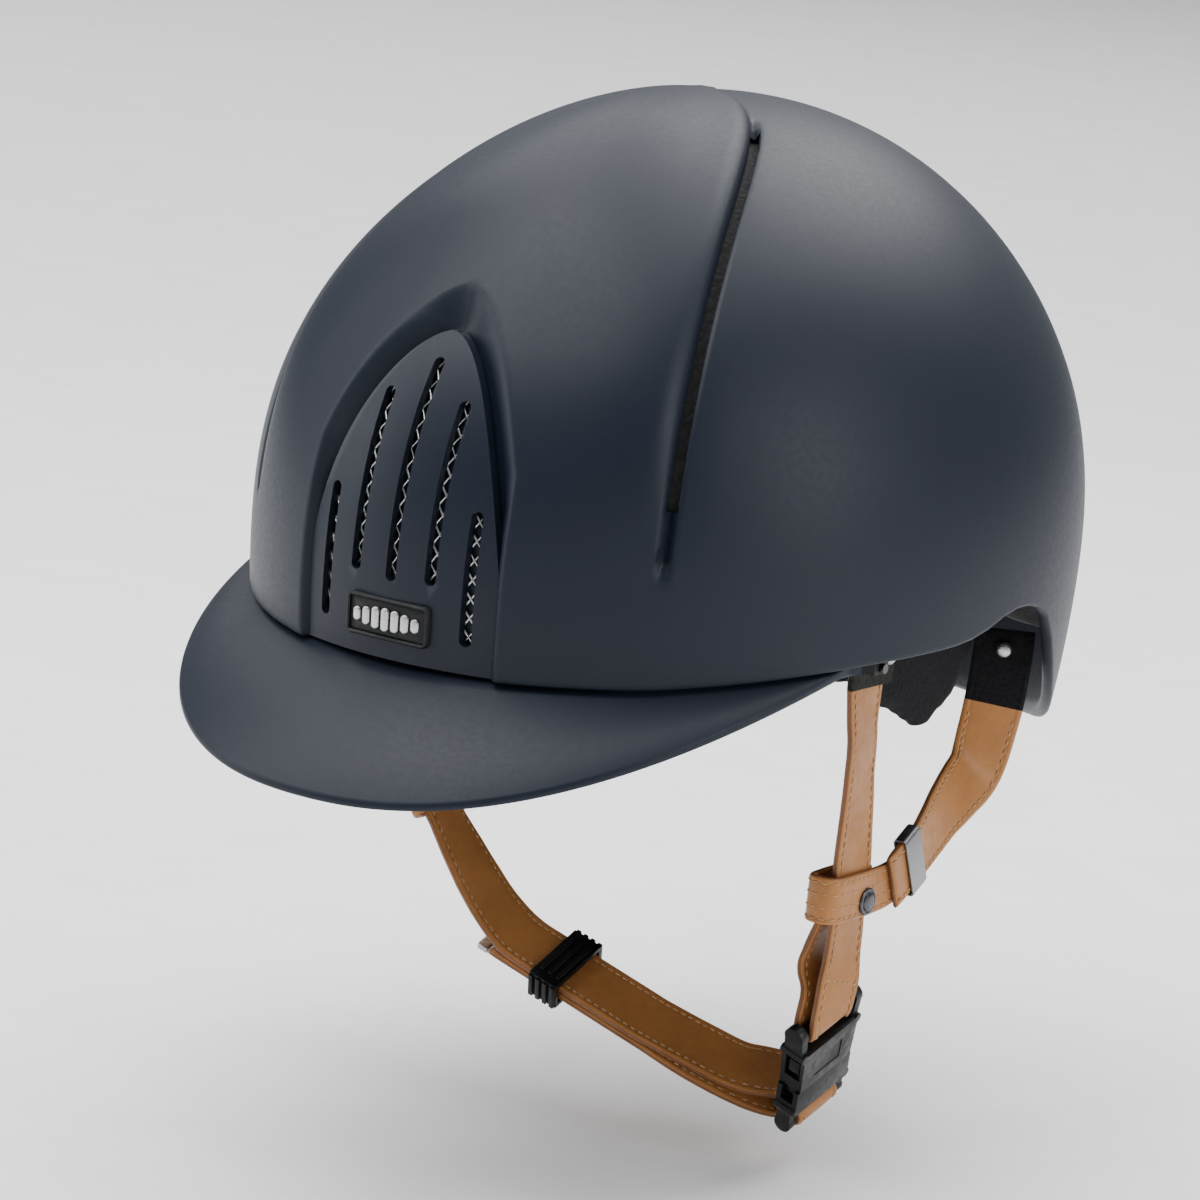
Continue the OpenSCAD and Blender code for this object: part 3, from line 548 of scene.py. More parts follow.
def rear_half(ph, z):
    """The same from the back's middle, up to the step and the side vent slot in front of it."""
    up = max(ph, 0)
    end = 90 + crest_angle(up) - arc_angle(STEP_W, up)
    slot = end - arc_angle(SLOT_W, up)
    lip = slot - arc_angle(ROUND_W, up)
    edge = arch_angle(1, up, z, REAR_EDGE, 4, 0.5 * lip)
    floor = arch_angle(1, up, z, REAR_FLOOR, 1.5, edge * 0.85)
    section, share = params(REAR_PARTS)
    ends = (1 - float(soft_step((z - 118) / 9))) * float(soft_step((z - 30) / 9))
    cut = RECESS * ends * np.where(section == 0, 1, np.where(section == 1, 1 - soft_step(share), 0))
    groove = rise(ph, 2, 5) * (1 - rise(ph, 75, 78))
    dip = np.where(section == 3, 0.7 * share ** 2, np.where(section == 4, 0.7 + 2.4 * np.sin(share * 2.4), 0))
    return sections((0, floor, edge, lip, slot, end), REAR_PARTS), -cut - groove * dip, cut


def dome_rows():
    return np.concatenate([np.full(RIM_ROWS, -1.0), np.linspace(0, 60, 76), np.linspace(60.8, 88.6, 36)])


def around(front, rear):
    """Joins half-row values once round from the middle of the front."""
    return np.concatenate([front, rear[:0:-1], rear, front[:0:-1]])


def shell_columns(ph, z):
    fa, fo, fc = front_half(ph, z)
    ra, ro, rc = rear_half(ph, z)
    az = np.concatenate([-90 + fa, 90 - ra[:0:-1], 90 + ra, 270 - fa[:0:-1]])
    return az, around(fo, ro), around(fc, rc)


def shell_grid(rim_rise=0.0, rim_low=-99.0):
    """Azimuths, elevations, outward offsets and recess depths of the dome's grid."""
    rows = dome_rows()
    grid = []
    for i, ph in enumerate(rows):
        if ph < 0:
            share = i / RIM_ROWS
            z = ARCH_FOOT + (WIDEST - ARCH_FOOT) * share
            az, off, cut = shell_columns(-1, z)
            low = elevation(az, np.maximum(rim_z(az) + rim_rise, rim_low))
            el = low * (1 - share)
        else:
            z = float(on_shell(-90.0, ph, 0)[2])
            az, off, cut = shell_columns(ph, z)
            el = np.full(az.shape, ph)
        grid.append((az, el, off, cut))
    return [np.array(g) for g in zip(*grid)]


def dome_mesh(outer, inner, is_open, lip):
    """Faces of a dome of two skins with a rounded rim, closed poles and walls round open cells."""
    m, n = outer.shape[:2]
    arcs = [(1 - math.cos(a)) / 2 for a in np.linspace(0, math.pi, 7)[1:-1]]
    drops = [math.sin(a) for a in np.linspace(0, math.pi, 7)[1:-1]]
    rim = [outer[0] * (1 - k) + inner[0] * k - np.array([0, 0, lip * d]) for k, d in zip(arcs, drops)]
    verts = np.concatenate([outer.reshape(-1, 3), inner.reshape(-1, 3), np.concatenate(rim),
                            outer[-1].mean(0)[None], inner[-1].mean(0)[None]])
    size, top = m * n, len(verts) - 2
    faces = []
    for i in range(m - 1):
        for j in range(n):
            k = (j + 1) % n
            a, b, c, d = i * n + j, i * n + k, (i + 1) * n + k, (i + 1) * n + j
            if not is_open[i, j]:
                faces += [(a, b, c, d), (a + size, d + size, c + size, b + size)]
                continue
            for p, q, ii, jj in ((a, b, i - 1, j), (c, d, i + 1, j), (d, a, i, (j - 1) % n), (b, c, i, k)):
                if not is_open[ii, jj]:
                    faces.append((p, q, q + size, p + size))
    starts = [0] + [2 * size + r * n for r in range(len(rim))] + [size]
    rings = [start + np.arange(n) for start in starts]
    for r0, r1 in zip(rings[:-1], rings[1:]):
        faces += [(r0[j], r1[j], r1[(j + 1) % n], r0[(j + 1) % n]) for j in range(n)]
    last = (m - 1) * n
    faces += [(last + j, last + (j + 1) % n, top) for j in range(n)]
    faces += [(size + last + (j + 1) % n, size + last + j, top + 1) for j in range(n)]
    return verts, faces


def slot_cells(el, ph_low, ph_high):
    """Cells of the two side vent slots."""
    f, r = sum(FRONT_PARTS), sum(REAR_PARTS)
    cells = np.zeros(el.shape, bool)
    for i in range(len(el) - 1):
        if ph_low <= el[i, 0] and el[i + 1, 0] <= ph_high:
            for start in (f + 1, f + 2 * r - 1):
                cells[i, start:start + REAR_PARTS[4]] = True
    return cells


az, el, off, cut = shell_grid()
outer = on_shell(az, el, 0) + aim(az, el) * off[..., None]
inner = on_shell(az, el, WALL) - aim(az, el) * cut[..., None]
v, f = dome_mesh(outer, inner, slot_cells(el, 10, 75), 0.9)
shell = piece("shell", v, f, NAVY, "helmet", "outer_shell", "shell_paint")
outward_normals(shell)
sharpen(shell, 50)

az, el, _, cut = shell_grid(rim_rise=5, rim_low=10)
outer = on_shell(az, el, WALL + FOAM_GAP) - aim(az, el) * cut[..., None]
inner = on_shell(az, el, WALL + FOAM_GAP + FOAM_T)
v, f = dome_mesh(outer[:, ::2], inner[:, ::2], np.zeros(outer[:, ::2].shape[:2], bool), 1.0)
liner = piece("impact_foam", v, f, FOAM, "helmet", "foam_liner", "liner_foam")
outward_normals(liner)

# ---- Visor -----------------------------------------------------------------------------------------

VISOR_TURN, RIM_TURN, VISOR_T = 81.3, 58.5, 2.4
VISOR_HALF_W, VISOR_END_Y, VISOR_REACH = 98.7, -33, 145.3
VISOR_END_Z, VISOR_DROP = 16.1, 44.8
VISOR_CURVE, VISOR_DIP = 0.893, 1.16
FLANGE_IN, FLANGE_HALF_W, FLANGE_FADE = 9, 60, 12


def visor_edge(t):
    """The free edge, from one end to the other as t turns."""
    c = np.cos(t)
    return np.stack([VISOR_HALF_W * np.abs(np.sin(t)) ** VISOR_CURVE * np.sign(t),
                     VISOR_END_Y - VISOR_REACH * c ** VISOR_CURVE,
                     VISOR_END_Z - VISOR_DROP * c ** VISOR_DIP], -1)


def visor_root(t):
    """The edge that lies under the shell's rim."""
    th = -90 + np.degrees(t) / VISOR_TURN * RIM_TURN
    return at_height(th, rim_z(th) - 0.5 - VISOR_T * 1.3, WALL - 0.6)


def build_visor():
    t = np.radians(np.linspace(-VISOR_TURN, VISOR_TURN, 161))
    a, b = visor_root(t), visor_edge(t)
    inward = smooth((FLANGE_HALF_W - np.abs(a[:, 0])) / FLANGE_FADE) * FLANGE_IN
    flange = inward[:, None] * unit(a * [-1, -1, 0])
    out = unit(b - a)
    length = np.linalg.norm(b - a, axis=-1)

    def at(k, up):
        """Points a share k of the way out, up millimetres above the underside."""
        bulge = (10 * k ** 1.5 * (1 - k) * length / 45)[:, None]
        rise_by = up * (1 + 0.3 * (1 - k))
        return a + (b - a) * k + bulge * np.array([0, -0.6, 0.8]) + np.array([0, 0, rise_by])

    ks = 1 - np.linspace(1, 0, 15) ** 1.3
    loop = [a + flange + np.array([0, 0, VISOR_T * 1.2])] + [at(k, VISOR_T) for k in ks[:-1]]
    for q in np.linspace(math.pi / 2, -math.pi / 2, 7):
        loop.append(b + out * (0.9 * math.cos(q)) + np.array([0, 0, VISOR_T / 2 * (1 + math.sin(q))]))
    loop += [at(k, 0) for k in ks[-2::-1]] + [a + flange + np.array([0, 0, 1.0])]
    rings = np.stack(loop, 1)
    m, n = rings.shape[:2]
    faces = [(i * n + j, (i + 1) * n + j, (i + 1) * n + (j + 1) % n, i * n + (j + 1) % n)
             for i in range(m - 1) for j in range(n)]
    faces += [tuple(range(n)), tuple((m - 1) * n + j for j in range(n - 1, -1, -1))]
    solid("peak", rings.reshape(-1, 3), faces, NAVY, "helmet", "visor", "shell_paint", 60)


build_visor()

# ---- Vent panels and their wire mesh ---------------------------------------------------------------

FRONT_SLOTS = ((0, 26, 86), (-12.3, 27, 76.5), (12.3, 27, 76.5), (-23.3, 12, 49), (23.3, 12, 49))
REAR_SLOTS = ((0, 46, 104), (-14, 46, 102), (14, 46, 102), (-28, 46, 92), (28, 46, 92))
SLOT_HALF = 1.7
PANEL_INSET, PANEL_T = 2.0, 2.6
WIRE_R, WIRE_INSET, WIRE_WEAVE, WIRE_RIPPLE = 0.36, 5.05, 0.12, 0.18


def slab_mesh(front, back):
    m, n = front.shape[:2]
    verts = np.concatenate([front.reshape(-1, 3), back.reshape(-1, 3)])
    size = m * n
    faces = []
    for i in range(m - 1):
        for j in range(n - 1):
            a, b, c, d = i * n + j, i * n + j + 1, (i + 1) * n + j + 1, (i + 1) * n + j
            faces += [(a, b, c, d), (a + size, d + size, c + size, b + size)]
    edge = [j for j in range(n)] + [i * n + n - 1 for i in range(1, m)]
    edge += [(m - 1) * n + j for j in range(n - 2, -1, -1)] + [i * n for i in range(m - 2, 0, -1)]
    for p, q in zip(edge, edge[1:] + edge[:1]):
        faces.append((p, q, q + size, p + size))
    return verts, faces


def capsule_cutter(slots, side):
    """Upright slots with round ends, cut along Y; each is (x, lowest z, highest z)."""
    verts, faces, turns = [], [], 24
    for x, z0, z1 in slots:
        ring = []
        for a in np.linspace(0, 2 * math.pi, turns, endpoint=False):
            middle = z1 - SLOT_HALF if a < math.pi else z0 + SLOT_HALF
            ring.append((x + SLOT_HALF * math.cos(a), middle + SLOT_HALF * math.sin(a)))
        faces += ring_faces(2, turns, len(verts)) + end_faces(2, turns, len(verts))
        verts += [(px, side * y, pz) for y in (70, 170) for px, pz in ring]
    return verts, faces


def arch_half(z, w, top, side):
    return np.maximum(arch(z, w, top, side), 1)


def vent_panel(name, side, z0, z1, w, top, slots, node):
    zs = z0 + (z1 - z0) * (1 - (1 - np.linspace(0, 1, 57)) ** 1.5)
    xs = arch_half(zs, w, top, side)[:, None] * np.linspace(-1, 1, 41)[None]
    verts, faces = slab_mesh(over(xs, zs[:, None], side, PANEL_INSET),
                             over(xs, zs[:, None], side, PANEL_INSET + PANEL_T))
    obj = piece(name, verts, faces, PANEL, None)
    outward_normals(obj)
    cutter = piece("cutter", *capsule_cutter(slots, side), PANEL, None)
    outward_normals(cutter)
    cut_by = obj.modifiers.new("slots", "BOOLEAN")
    cut_by.object, cut_by.solver = cutter, "EXACT"
    apply_modifiers(obj)
    bpy.data.objects.remove(cutter)
    round_edges(obj, 0.45, 2, 50)
    apply_modifiers(obj)
    shade_smooth(obj)
    even = obj.modifiers.new("even", "WEIGHTED_NORMAL")
    even.mode, even.weight = "FACE_AREA", 80
    apply_modifiers(obj)
    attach(obj, "helmet")
    finish_piece(node)


def tube(points, radius, sides=4):
    """A thin tube along points."""
    points = np.asarray(points, float)
    along = unit(np.gradient(points, axis=0))
    u = unit(np.cross(along, (0.31, 0.87, 0.38)))
    w = np.cross(along, u)
    ang = np.linspace(0, 2 * math.pi, sides, endpoint=False)[None, :, None]
    rings = points[:, None] + radius * (u[:, None] * np.cos(ang) + w[:, None] * np.sin(ang))
    return rings.reshape(-1, 3), ring_faces(len(points), sides) + end_faces(len(points), sides)


def wire_mesh(name, side, z0, z1, w, top, node, step=3.5, slope=1.5):
    """A lattice of crossing wires behind a vent panel."""
    verts, faces, base = [], [], 0
    span = (z1 - z0) / slope
    z = np.linspace(z0, z1, 46)
    for lean in (-1, 1):
        for start in np.arange(-w - span, w + span, step):
            x = start + lean * (z - z0) / slope + (span if lean < 0 else 0)
            inside = np.abs(x) < arch_half(z, w, top, side)
            if inside.sum() < 3:
                continue
            ripple = WIRE_RIPPLE * np.sin((z - z0) / slope * 2 * math.pi / step) * lean
            inset = WIRE_INSET + WIRE_WEAVE * lean + ripple[inside]
            tv, tf = tube(over(x[inside], z[inside], side, inset), WIRE_R)
            verts.append(tv)
            faces += [tuple(i + base for i in face) for face in tf]
            base += len(tv)
    piece(name, np.concatenate(verts), faces, WIRE, "helmet", node, "steel")


vent_panel("front_vent_panel", -1, 4.4, 93, 33, 93, FRONT_SLOTS, "front_grille")
vent_panel("rear_vent_panel", 1, 42, 113, 37, 113, REAR_SLOTS, "rear_grille")
wire_mesh("front_wire_mesh", -1, 9, 88, 30, 89, "front_mesh")
wire_mesh("rear_wire_mesh", 1, 44, 109, 34, 110, "rear_mesh")

# ---- Leather straps ----------------------------------------------------------------------------------


def curve_points(points, step):
    """Catmull-Rom points about step mm apart, with their place along the control points."""
    p = np.asarray(points, float)
    q = np.concatenate([[2 * p[0] - p[1]], p, [2 * p[-1] - p[-2]]])
    out, place = [], []
    for i in range(1, len(q) - 2):
        p0, p1, p2, p3 = q[i - 1:i + 3]
        n = max(2, int(np.linalg.norm(p2 - p1) / step))
        d1 = (p2 - p0) / (np.linalg.norm(p2 - p0) + 1e-9) * np.linalg.norm(p2 - p1)
        d2 = (p3 - p1) / (np.linalg.norm(p3 - p1) + 1e-9) * np.linalg.norm(p2 - p1)
        for k in range(n):
            t = k / n
            out.append((2 * t ** 3 - 3 * t ** 2 + 1) * p1 + (t ** 3 - 2 * t ** 2 + t) * d1
                       + (3 * t ** 2 - 2 * t ** 3) * p2 + (t ** 3 - t ** 2) * d2)
            place.append(i - 1 + t)
    return np.array(out + [p[-1]]), np.array(place + [len(p) - 1.0])


def strap_frame(points, across, step):
    """Centre points and their width and face directions along a strap."""
    c, place = curve_points(points, step)
    a = unit(np.asarray(across, float))
    v = np.stack([np.interp(place, np.arange(len(a)), a[:, k]) for k in range(3)], -1)
    along = unit(np.gradient(c, axis=0))
    v = unit(v - along * (v * along).sum(1, keepdims=True))
    return c, v, np.cross(along, v), along, place


HALF_PROFILE = [0.3, 0.6, 0.72, 0.76, 0.8, 0.86, 0.93, 0.975, 1]
PROFILE_U = np.array([-u for u in HALF_PROFILE[::-1]] + [0] + HALF_PROFILE)
STITCH_U, STITCH_PITCH, STITCH_LENGTH, STITCH_R = 0.76, 2.7, 1.9, 0.27
STITCH_SINK, CROSS_SINK = 0.16, 0.04
# Sections of a stitch: place along it, thickness and height
STITCH_RINGS = ((-0.5, 0.35, -0.16), (-0.32, 1, 0.1), (0, 1.1, 0.2), (0.32, 1, 0.1), (0.5, 0.35, -0.16))
LEATHER_FACE, EDGE_FACE, THREAD_FACE, CLOTH_FACE = range(4)


def profile(t):
    """Half-thickness across a strap: crowned, round at its edges and pressed in along the stitches."""
    u = np.abs(PROFILE_U)
    h = t / 2 * (1 - 0.12 * u ** 2) * np.sqrt(np.clip(1 - np.maximum(u - 0.9, 0) ** 2 / 0.0125, 0.12, 1))
    return h - 0.16 * np.exp(-((u - STITCH_U) / 0.035) ** 2) + 0.2 * np.exp(-((u - 0.87) / 0.05) ** 2)


def stitch(centre, along, up):
    """A short thread between two needle holes."""
    side, around = np.cross(along, up), 6
    verts = [centre + along * s * STITCH_LENGTH + up * h
             + (side * math.cos(a) + up * math.sin(a)) * STITCH_R * k
             for s, k, h in STITCH_RINGS for a in np.linspace(0, 2 * math.pi, around, endpoint=False)]
    return np.array(verts), ring_faces(len(STITCH_RINGS), around)


def strap(name, points, across, w, t, body, node, step=1.6, rows=(-1, 1), cross_rows=(), spare=0.0,
          cloth_from=1e9):
    """A stitched leather strap along points; its parts lie in the CAD strap's own space.

    rows are the stitch lines along it, cross_rows the places with a line across, spare how wavy it lies,
    and cloth_from the place from which it is black fabric.
    """
    c, v, n, along, place = strap_frame(points, across, step)
    h, m = profile(t), len(c)
    wave = (0.10 * np.sin(place * 2.9 + 1) + 0.07 * np.sin(place * 6.1)) * spare
    rings = []
    for i in range(m):
        taper = min(1, 0.55 + 0.45 * min(i, m - 1 - i) / 1.5)
        across_by = PROFILE_U[:, None] * v[i] * (w / 2 * (0.985 + 0.015 * taper))
        out_by = n[i] * (h * taper)[:, None]
        base = c[i] + n[i] * wave[i]
        rings.append(np.concatenate([base + across_by + out_by, (base + across_by - out_by)[::-1][1:-1]]))
    ring_n, k = len(rings[0]), len(PROFILE_U)
    edges = (0, k - 2, k - 1, ring_n - 1)
    verts, total = [np.concatenate(rings)], m * ring_n
    faces = ring_faces(m, ring_n) + end_faces(m, ring_n)
    index = [CLOTH_FACE if place[i] > cloth_from else EDGE_FACE if j in edges else LEATHER_FACE
             for i in range(m - 1) for j in range(ring_n)]
    index += [EDGE_FACE, CLOTH_FACE if place[-1] > cloth_from else EDGE_FACE]
    far = np.concatenate([[0], np.cumsum(np.linalg.norm(np.diff(c, axis=0), axis=1))])

    def at(values, s):
        return np.array([np.interp(s, far, values[:, d]) for d in range(3)])

    def both_faces(s, u, sink, direction):
        middle, up = at(c, s) + at(v, s) * u * w / 2, at(n, s)
        return [(middle + up * d * (t / 2 - sink), at(direction, s), up * d) for d in (-1, 1)]

    spots = []
    stop = np.interp(min(cloth_from, place[-1]), place, far) - 1.6
    for s in np.arange(1.6, stop, STITCH_PITCH):
        for r in rows:
            spots += both_faces(s, r * STITCH_U, STITCH_SINK, along)
    for place_at in cross_rows:
        for u in np.arange(-0.7, 0.71, 0.28):
            spots += both_faces(np.interp(place_at, place, far), u, CROSS_SINK, v)
    for centre, direction, up in spots:
        sv, sf = stitch(centre, unit(direction), unit(up))
        verts.append(sv)
        faces += [tuple(i + total for i in q) for q in sf]
        index += [THREAD_FACE] * len(sf)
        total += len(sv)
    return piece(name, np.concatenate(verts), faces, TAN, body, node, "tan_leather",
                 (EDGE, THREAD, KNIT), index)


BUCKLE_TOP = np.array([85.5, -37, -95])
B_FACE = np.array([0.951, 0, -0.309])
B_ACROSS = np.array([0.126, 0.914, 0.387])
B_DOWN = np.array([-0.282, 0.407, -0.869])
BUCKLE_LEN, STRAP_W, STRAP_T, WRAP_R = 35.0, 17.5, 2.2, 2.8
DIVIDER_W, DIVIDER_T = 13.6, 1.7
Y = (0, 1, 0)


def in_buckle(x, z):
    return tuple(BUCKLE_TOP + B_FACE * x - B_DOWN * z)


def wrap(angles, drop=0.0):
    """Points round one of the buckle's bars."""
    return [in_buckle(WRAP_R * math.cos(a), WRAP_R * math.sin(a) - drop) for a in map(math.radians, angles)]


CHEEK = [(88, -39, 12), (88, -39, 2), (88, -37.6, -12), (88, -36.4, -26), (88, -35, -50), (87.8, -34.4, -66),
         (88, -34.8, -78), (88.6, -36.9, -87)] + [
         tuple(np.array(q) - 0.8 * B_ACROSS) for q in wrap((10, -35, -90, -145, -190))] + [
         (83.6, -36.9, -86.4), (80.8, -35.2, -79), (81.2, -34.6, -74), (83.4, -34.6, -67.6),
         (83.5, -34.8, -61), (83.5, -35, -54)]
CHEEK_ACROSS = [Y, Y, (-0.12, 0.99, 0), (-0.1, 0.99, 0), (0.06, 1, 0), Y, (0.05, 0.99, 0.12),
                (0.11, 0.93, 0.34)] + [tuple(B_ACROSS)] * 5 + [
                (0.11, 0.93, 0.34), (0.05, 0.99, 0.12)] + [Y] * 4
strap("cheek_strap", CHEEK, CHEEK_ACROSS, STRAP_W, STRAP_T, "harness", "cheek_strap_left",
      cross_rows=(6.75,), spare=1)

K_FROM, K_TO = np.array([-24, -35, -96.5]), np.array([26, -33.5, -111.5])
K_ALONG = unit(K_TO - K_FROM)
C_ACROSS = np.array([0, 0.87, 0.5])
C_ACROSS = unit(C_ACROSS - K_ALONG * (C_ACROSS @ K_ALONG))
C_FACE = np.cross(C_ACROSS, K_ALONG)
TAIL_GAP = 3 * C_FACE


def keeper_mix(k):
    return K_FROM + (K_TO - K_FROM) * k


CHIN = [(-88, -39, 12), (-88, -39, 2), (-83, -38, -14), (-75, -37.4, -31), (-65, -37, -47), (-55, -36.5, -60),
        (-49, -36.25, -67.8), (-43, -36.05, -75.2), (-36.5, -35.75, -83), (-29.5, -35.4, -90.3),
        (-20.5, -34.9, -97), (-10, -34.6, -100.6), tuple(keeper_mix(0.6)),
        tuple(keeper_mix(0.94)), tuple(K_TO), (44, -33, -115.6),
        (57, -31, -118.6), in_buckle(-9, 2.9 - BUCKLE_LEN),
        in_buckle(-3.6, 2.9 - BUCKLE_LEN)] + wrap((80, 35, -10, -55, -100), BUCKLE_LEN) + [
        in_buckle(-7, -3.4 - BUCKLE_LEN), (57, -31, -122.4), (44, -33, -119)] + [
        tuple(q + TAIL_GAP) for q in (K_TO + [3, 0.1, -0.9], keeper_mix(0.94), keeper_mix(0.06),
                                      K_FROM + [-1, 0, 0.3])]
CHIN_ACROSS = [Y] * 7 + [(0, 0.97, 0.2), (0, 0.93, 0.36), (0, 0.9, 0.43)] + [tuple(C_ACROSS)] * 7 + [
    tuple(B_ACROSS)] * 8 + [tuple(C_ACROSS)] * 6
chin = strap("under_chin_strap", CHIN, CHIN_ACROSS, STRAP_W, STRAP_T, None, "chin_strap")
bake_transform(chin)

REAR_L = [(93, -20, -57.6), (92.6, -14, -54.8), (92, -5, -50.6), (90.8, 3, -46.6), (89.2, 12.7, -41.8),
          (88.4, 22, -37.4), (88.2, 30.4, -32), (88.6, 34, -21), (89.2, 35.8, -10), (89.4, 36.6, 0),
          (89.4, 36.8, 8.5)]
REAR_R = [(-59.2, -24, -63.4), (-62.2, -16.7, -58.9), (-65.5, -8.7, -53.9), (-69.6, 1, -47.8),
          (-75, 13, -40.6), (-79.2, 23, -35), (-82.4, 31, -29), (-83.6, 35, -19), (-83, 36.6, -9),
          (-82.4, 37.2, 2), (-82, 37.4, 12)]
REAR_L_ACROSS = [(0, -0.42, 0.9)] * 3 + [(-0.08, -0.5, 0.86), (-0.2, -0.58, 0.78), (-0.4, -0.62, 0.67),
                                        (-0.6, -0.62, 0.5), (-0.75, -0.6, 0.26)] + [(-0.85, -0.52, 0.1)] * 3
REAR_R_ACROSS = [(-0.49, -0.6, 0.63)] * 3 + [(-0.46, -0.58, 0.67), (-0.42, -0.57, 0.7), (-0.4, -0.6, 0.68),
                                            (-0.4, -0.75, 0.5), (-0.4, -0.88, 0.2), (-0.4, -0.9, 0.05),
                                            (-0.4, -0.9, 0), (-0.4, -0.9, 0)]
REAR_STRAPS = (("left", REAR_L, REAR_L_ACROSS), ("right", REAR_R, REAR_R_ACROSS))
CLOTH_PLACE = 7.55
for side, path, across in REAR_STRAPS:
    obj = strap(f"rear_leather_{side}", path, across, STRAP_W, STRAP_T, None, f"rear_strap_{side}",
                cloth_from=CLOTH_PLACE)
    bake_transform(obj)


def divider(name, node, points, across):
    strap(name, points, across, DIVIDER_W, DIVIDER_T, "harness", node, step=1.2, rows=(-1, -0.36, 0.36, 1))


DIVIDER_L = [(91.2, -15, -57.0), (91.0, -20, -58.4), (90.4, -27, -59.3), (90.3, -40, -59.5),
             (89.2, -46.4, -59.5), (85.75, -47.6, -59.5), (82.2, -46.4, -59.5), (81.3, -40, -59.5),
             (81.3, -31, -59.5), (82.3, -25.2, -59.5), (85.4, -23.9, -59.4), (88.2, -24.0, -59.3)]
D_ACROSS = [(0, -0.25, 0.97)] * 2 + [(0, -0.1, 0.99)] + [(0, 0, 1)] * 9
divider("divider_loop_left", "divider_left", DIVIDER_L, D_ACROSS)

FAR = np.array([-55.0, -36.5, -60.0])
FAR_LEAN = math.radians(37.9)
FAR_X = np.array([-math.cos(FAR_LEAN), 0, -math.sin(FAR_LEAN)])
FAR_Z = np.array([-math.sin(FAR_LEAN), 0, math.cos(FAR_LEAN)])


def far_point(x, y, z=0.0):
    return tuple(FAR + FAR_X * x + np.array([0, y, 0]) + FAR_Z * z)


DIVIDER_R = [far_point(*q) for q in ((2.9, 17.4), (2.8, 12.6), (2.7, 6), (2.7, -4), (2.2, -10.4), (0, -11.4),
                                     (-2.2, -10.4), (-2.7, -4), (-2.7, 4), (-2.2, 10), (-0.2, 11.2),
                                     (1.2, 11.0))]
divider("divider_loop_right", "divider_right", DIVIDER_R, [tuple(FAR_Z)] * 12)

# ---- Turned and moulded fittings --------------------------------------------------------------------


def lathe(name, spots, outline, material, body, node, slot, turns=40):
    """Turned parts, one at each (centre, axis) spot; the outline is (radius, height) along the axis."""
    verts, faces = [], []
    for centre, axis in spots:
        axis = unit(np.array(axis, float))
        u = unit(np.cross(axis, (0.2, 0.3, 0.93)))
        w = np.cross(axis, u)
        faces += ring_faces(len(outline), turns, len(verts)) + end_faces(len(outline), turns, len(verts))
        verts += [np.array(centre) + axis * h + (u * math.cos(a) + w * math.sin(a)) * r
                  for r, h in outline for a in np.linspace(0, 2 * math.pi, turns, endpoint=False)]
    solid(name, verts, faces, material, body, node, slot, 35)


SNAP = ((4, 0), (4, 0.55), (3.7, 0.85), (3.2, 0.9), (3.05, 0.65), (2.8, 0.65), (2.6, 1.1), (2.1, 1.35),
        (1.3, 1.45), (0.5, 1.48))
RIVET = ((2.4, 0), (2.4, 0.8), (2.2, 1.3), (1.6, 1.75), (0.8, 1.95), (0.2, 2.0))
RIVET_TURN = math.radians(24)
RIVETS = [((s * 91.5, y, 10), (s, 0, 0)) for s in (1, -1) for y in (-48, -34)] + [
    ((90.2, 35.5, 3), (0.52, -0.85, 0)), ((-83.5, 38, 8), (-math.cos(RIVET_TURN), math.sin(RIVET_TURN), 0))]
SNAPS = {"left": ((91.25, -30.3, -61.6), (1, 0, 0)), "right": (far_point(3.75, 5.4, -2.4), FAR_X)}
for side, spot in SNAPS.items():
    lathe(f"snap_{side}", [spot], SNAP, DARK_METAL, "harness", f"divider_snap_{side}", "black_plastic")
lathe("anchor_rivet_heads", RIVETS, RIVET, STEEL, "helmet", "anchor_rivets", "steel", 32)

CLIP_HX, CLIP_HY, CLIP_R, CLIP_T, CLIP_HALF_W, CLIP_BEVEL = 1.85, 9.35, 0.9, 0.6, 4.3, 0.15


def loop_path(centre, x_dir, y_dir, hx, hy, r):
    """Points of a rounded rectangle."""
    return [centre + x_dir * (sx * (hx - r) + r * math.cos(a)) + y_dir * (sy * (hy - r) + r * math.sin(a))
            for sx, sy, a0 in ((1, 1, 0), (-1, 1, 90), (-1, -1, 180), (1, -1, 270))
            for a in np.radians(a0 + np.arange(0, 91, 30))]


def clip(side, path, across):
    """A folded steel band round a rear strap, halfway between two points of its path."""
    p, q = np.array(path[1]), np.array(path[2])
    z_dir = unit(q - p)
    y_dir = np.array(across[1], float)
    y_dir = unit(y_dir - z_dir * (y_dir @ z_dir))
    frame_of = ((p + q) / 2, np.cross(z_dir, y_dir), y_dir)
    t = CLIP_T / 2
    core = loop_path(*frame_of, CLIP_HX - t, CLIP_HY - t, CLIP_R - t)
    skin = loop_path(*frame_of, CLIP_HX + t, CLIP_HY + t, CLIP_R + t)
    verts = []
    for inside, outside in zip(core, skin):
        d = unit(outside - inside)
        for base, into, s in ((inside, d, -1), (inside, d, 1), (outside, -d, 1), (outside, -d, -1)):
            pair = [base + z_dir * s * (CLIP_HALF_W - CLIP_BEVEL),
                    base + z_dir * s * CLIP_HALF_W + into * CLIP_BEVEL]
            verts += pair if (base is inside) == (s > 0) else pair[::-1]
    solid(f"clip_{side}", verts, ring_faces(len(core), 8, closed=True), CLIP, "harness",
          f"divider_clip_{side}", "steel", 40)


for strap_of in REAR_STRAPS:
    clip(*strap_of)


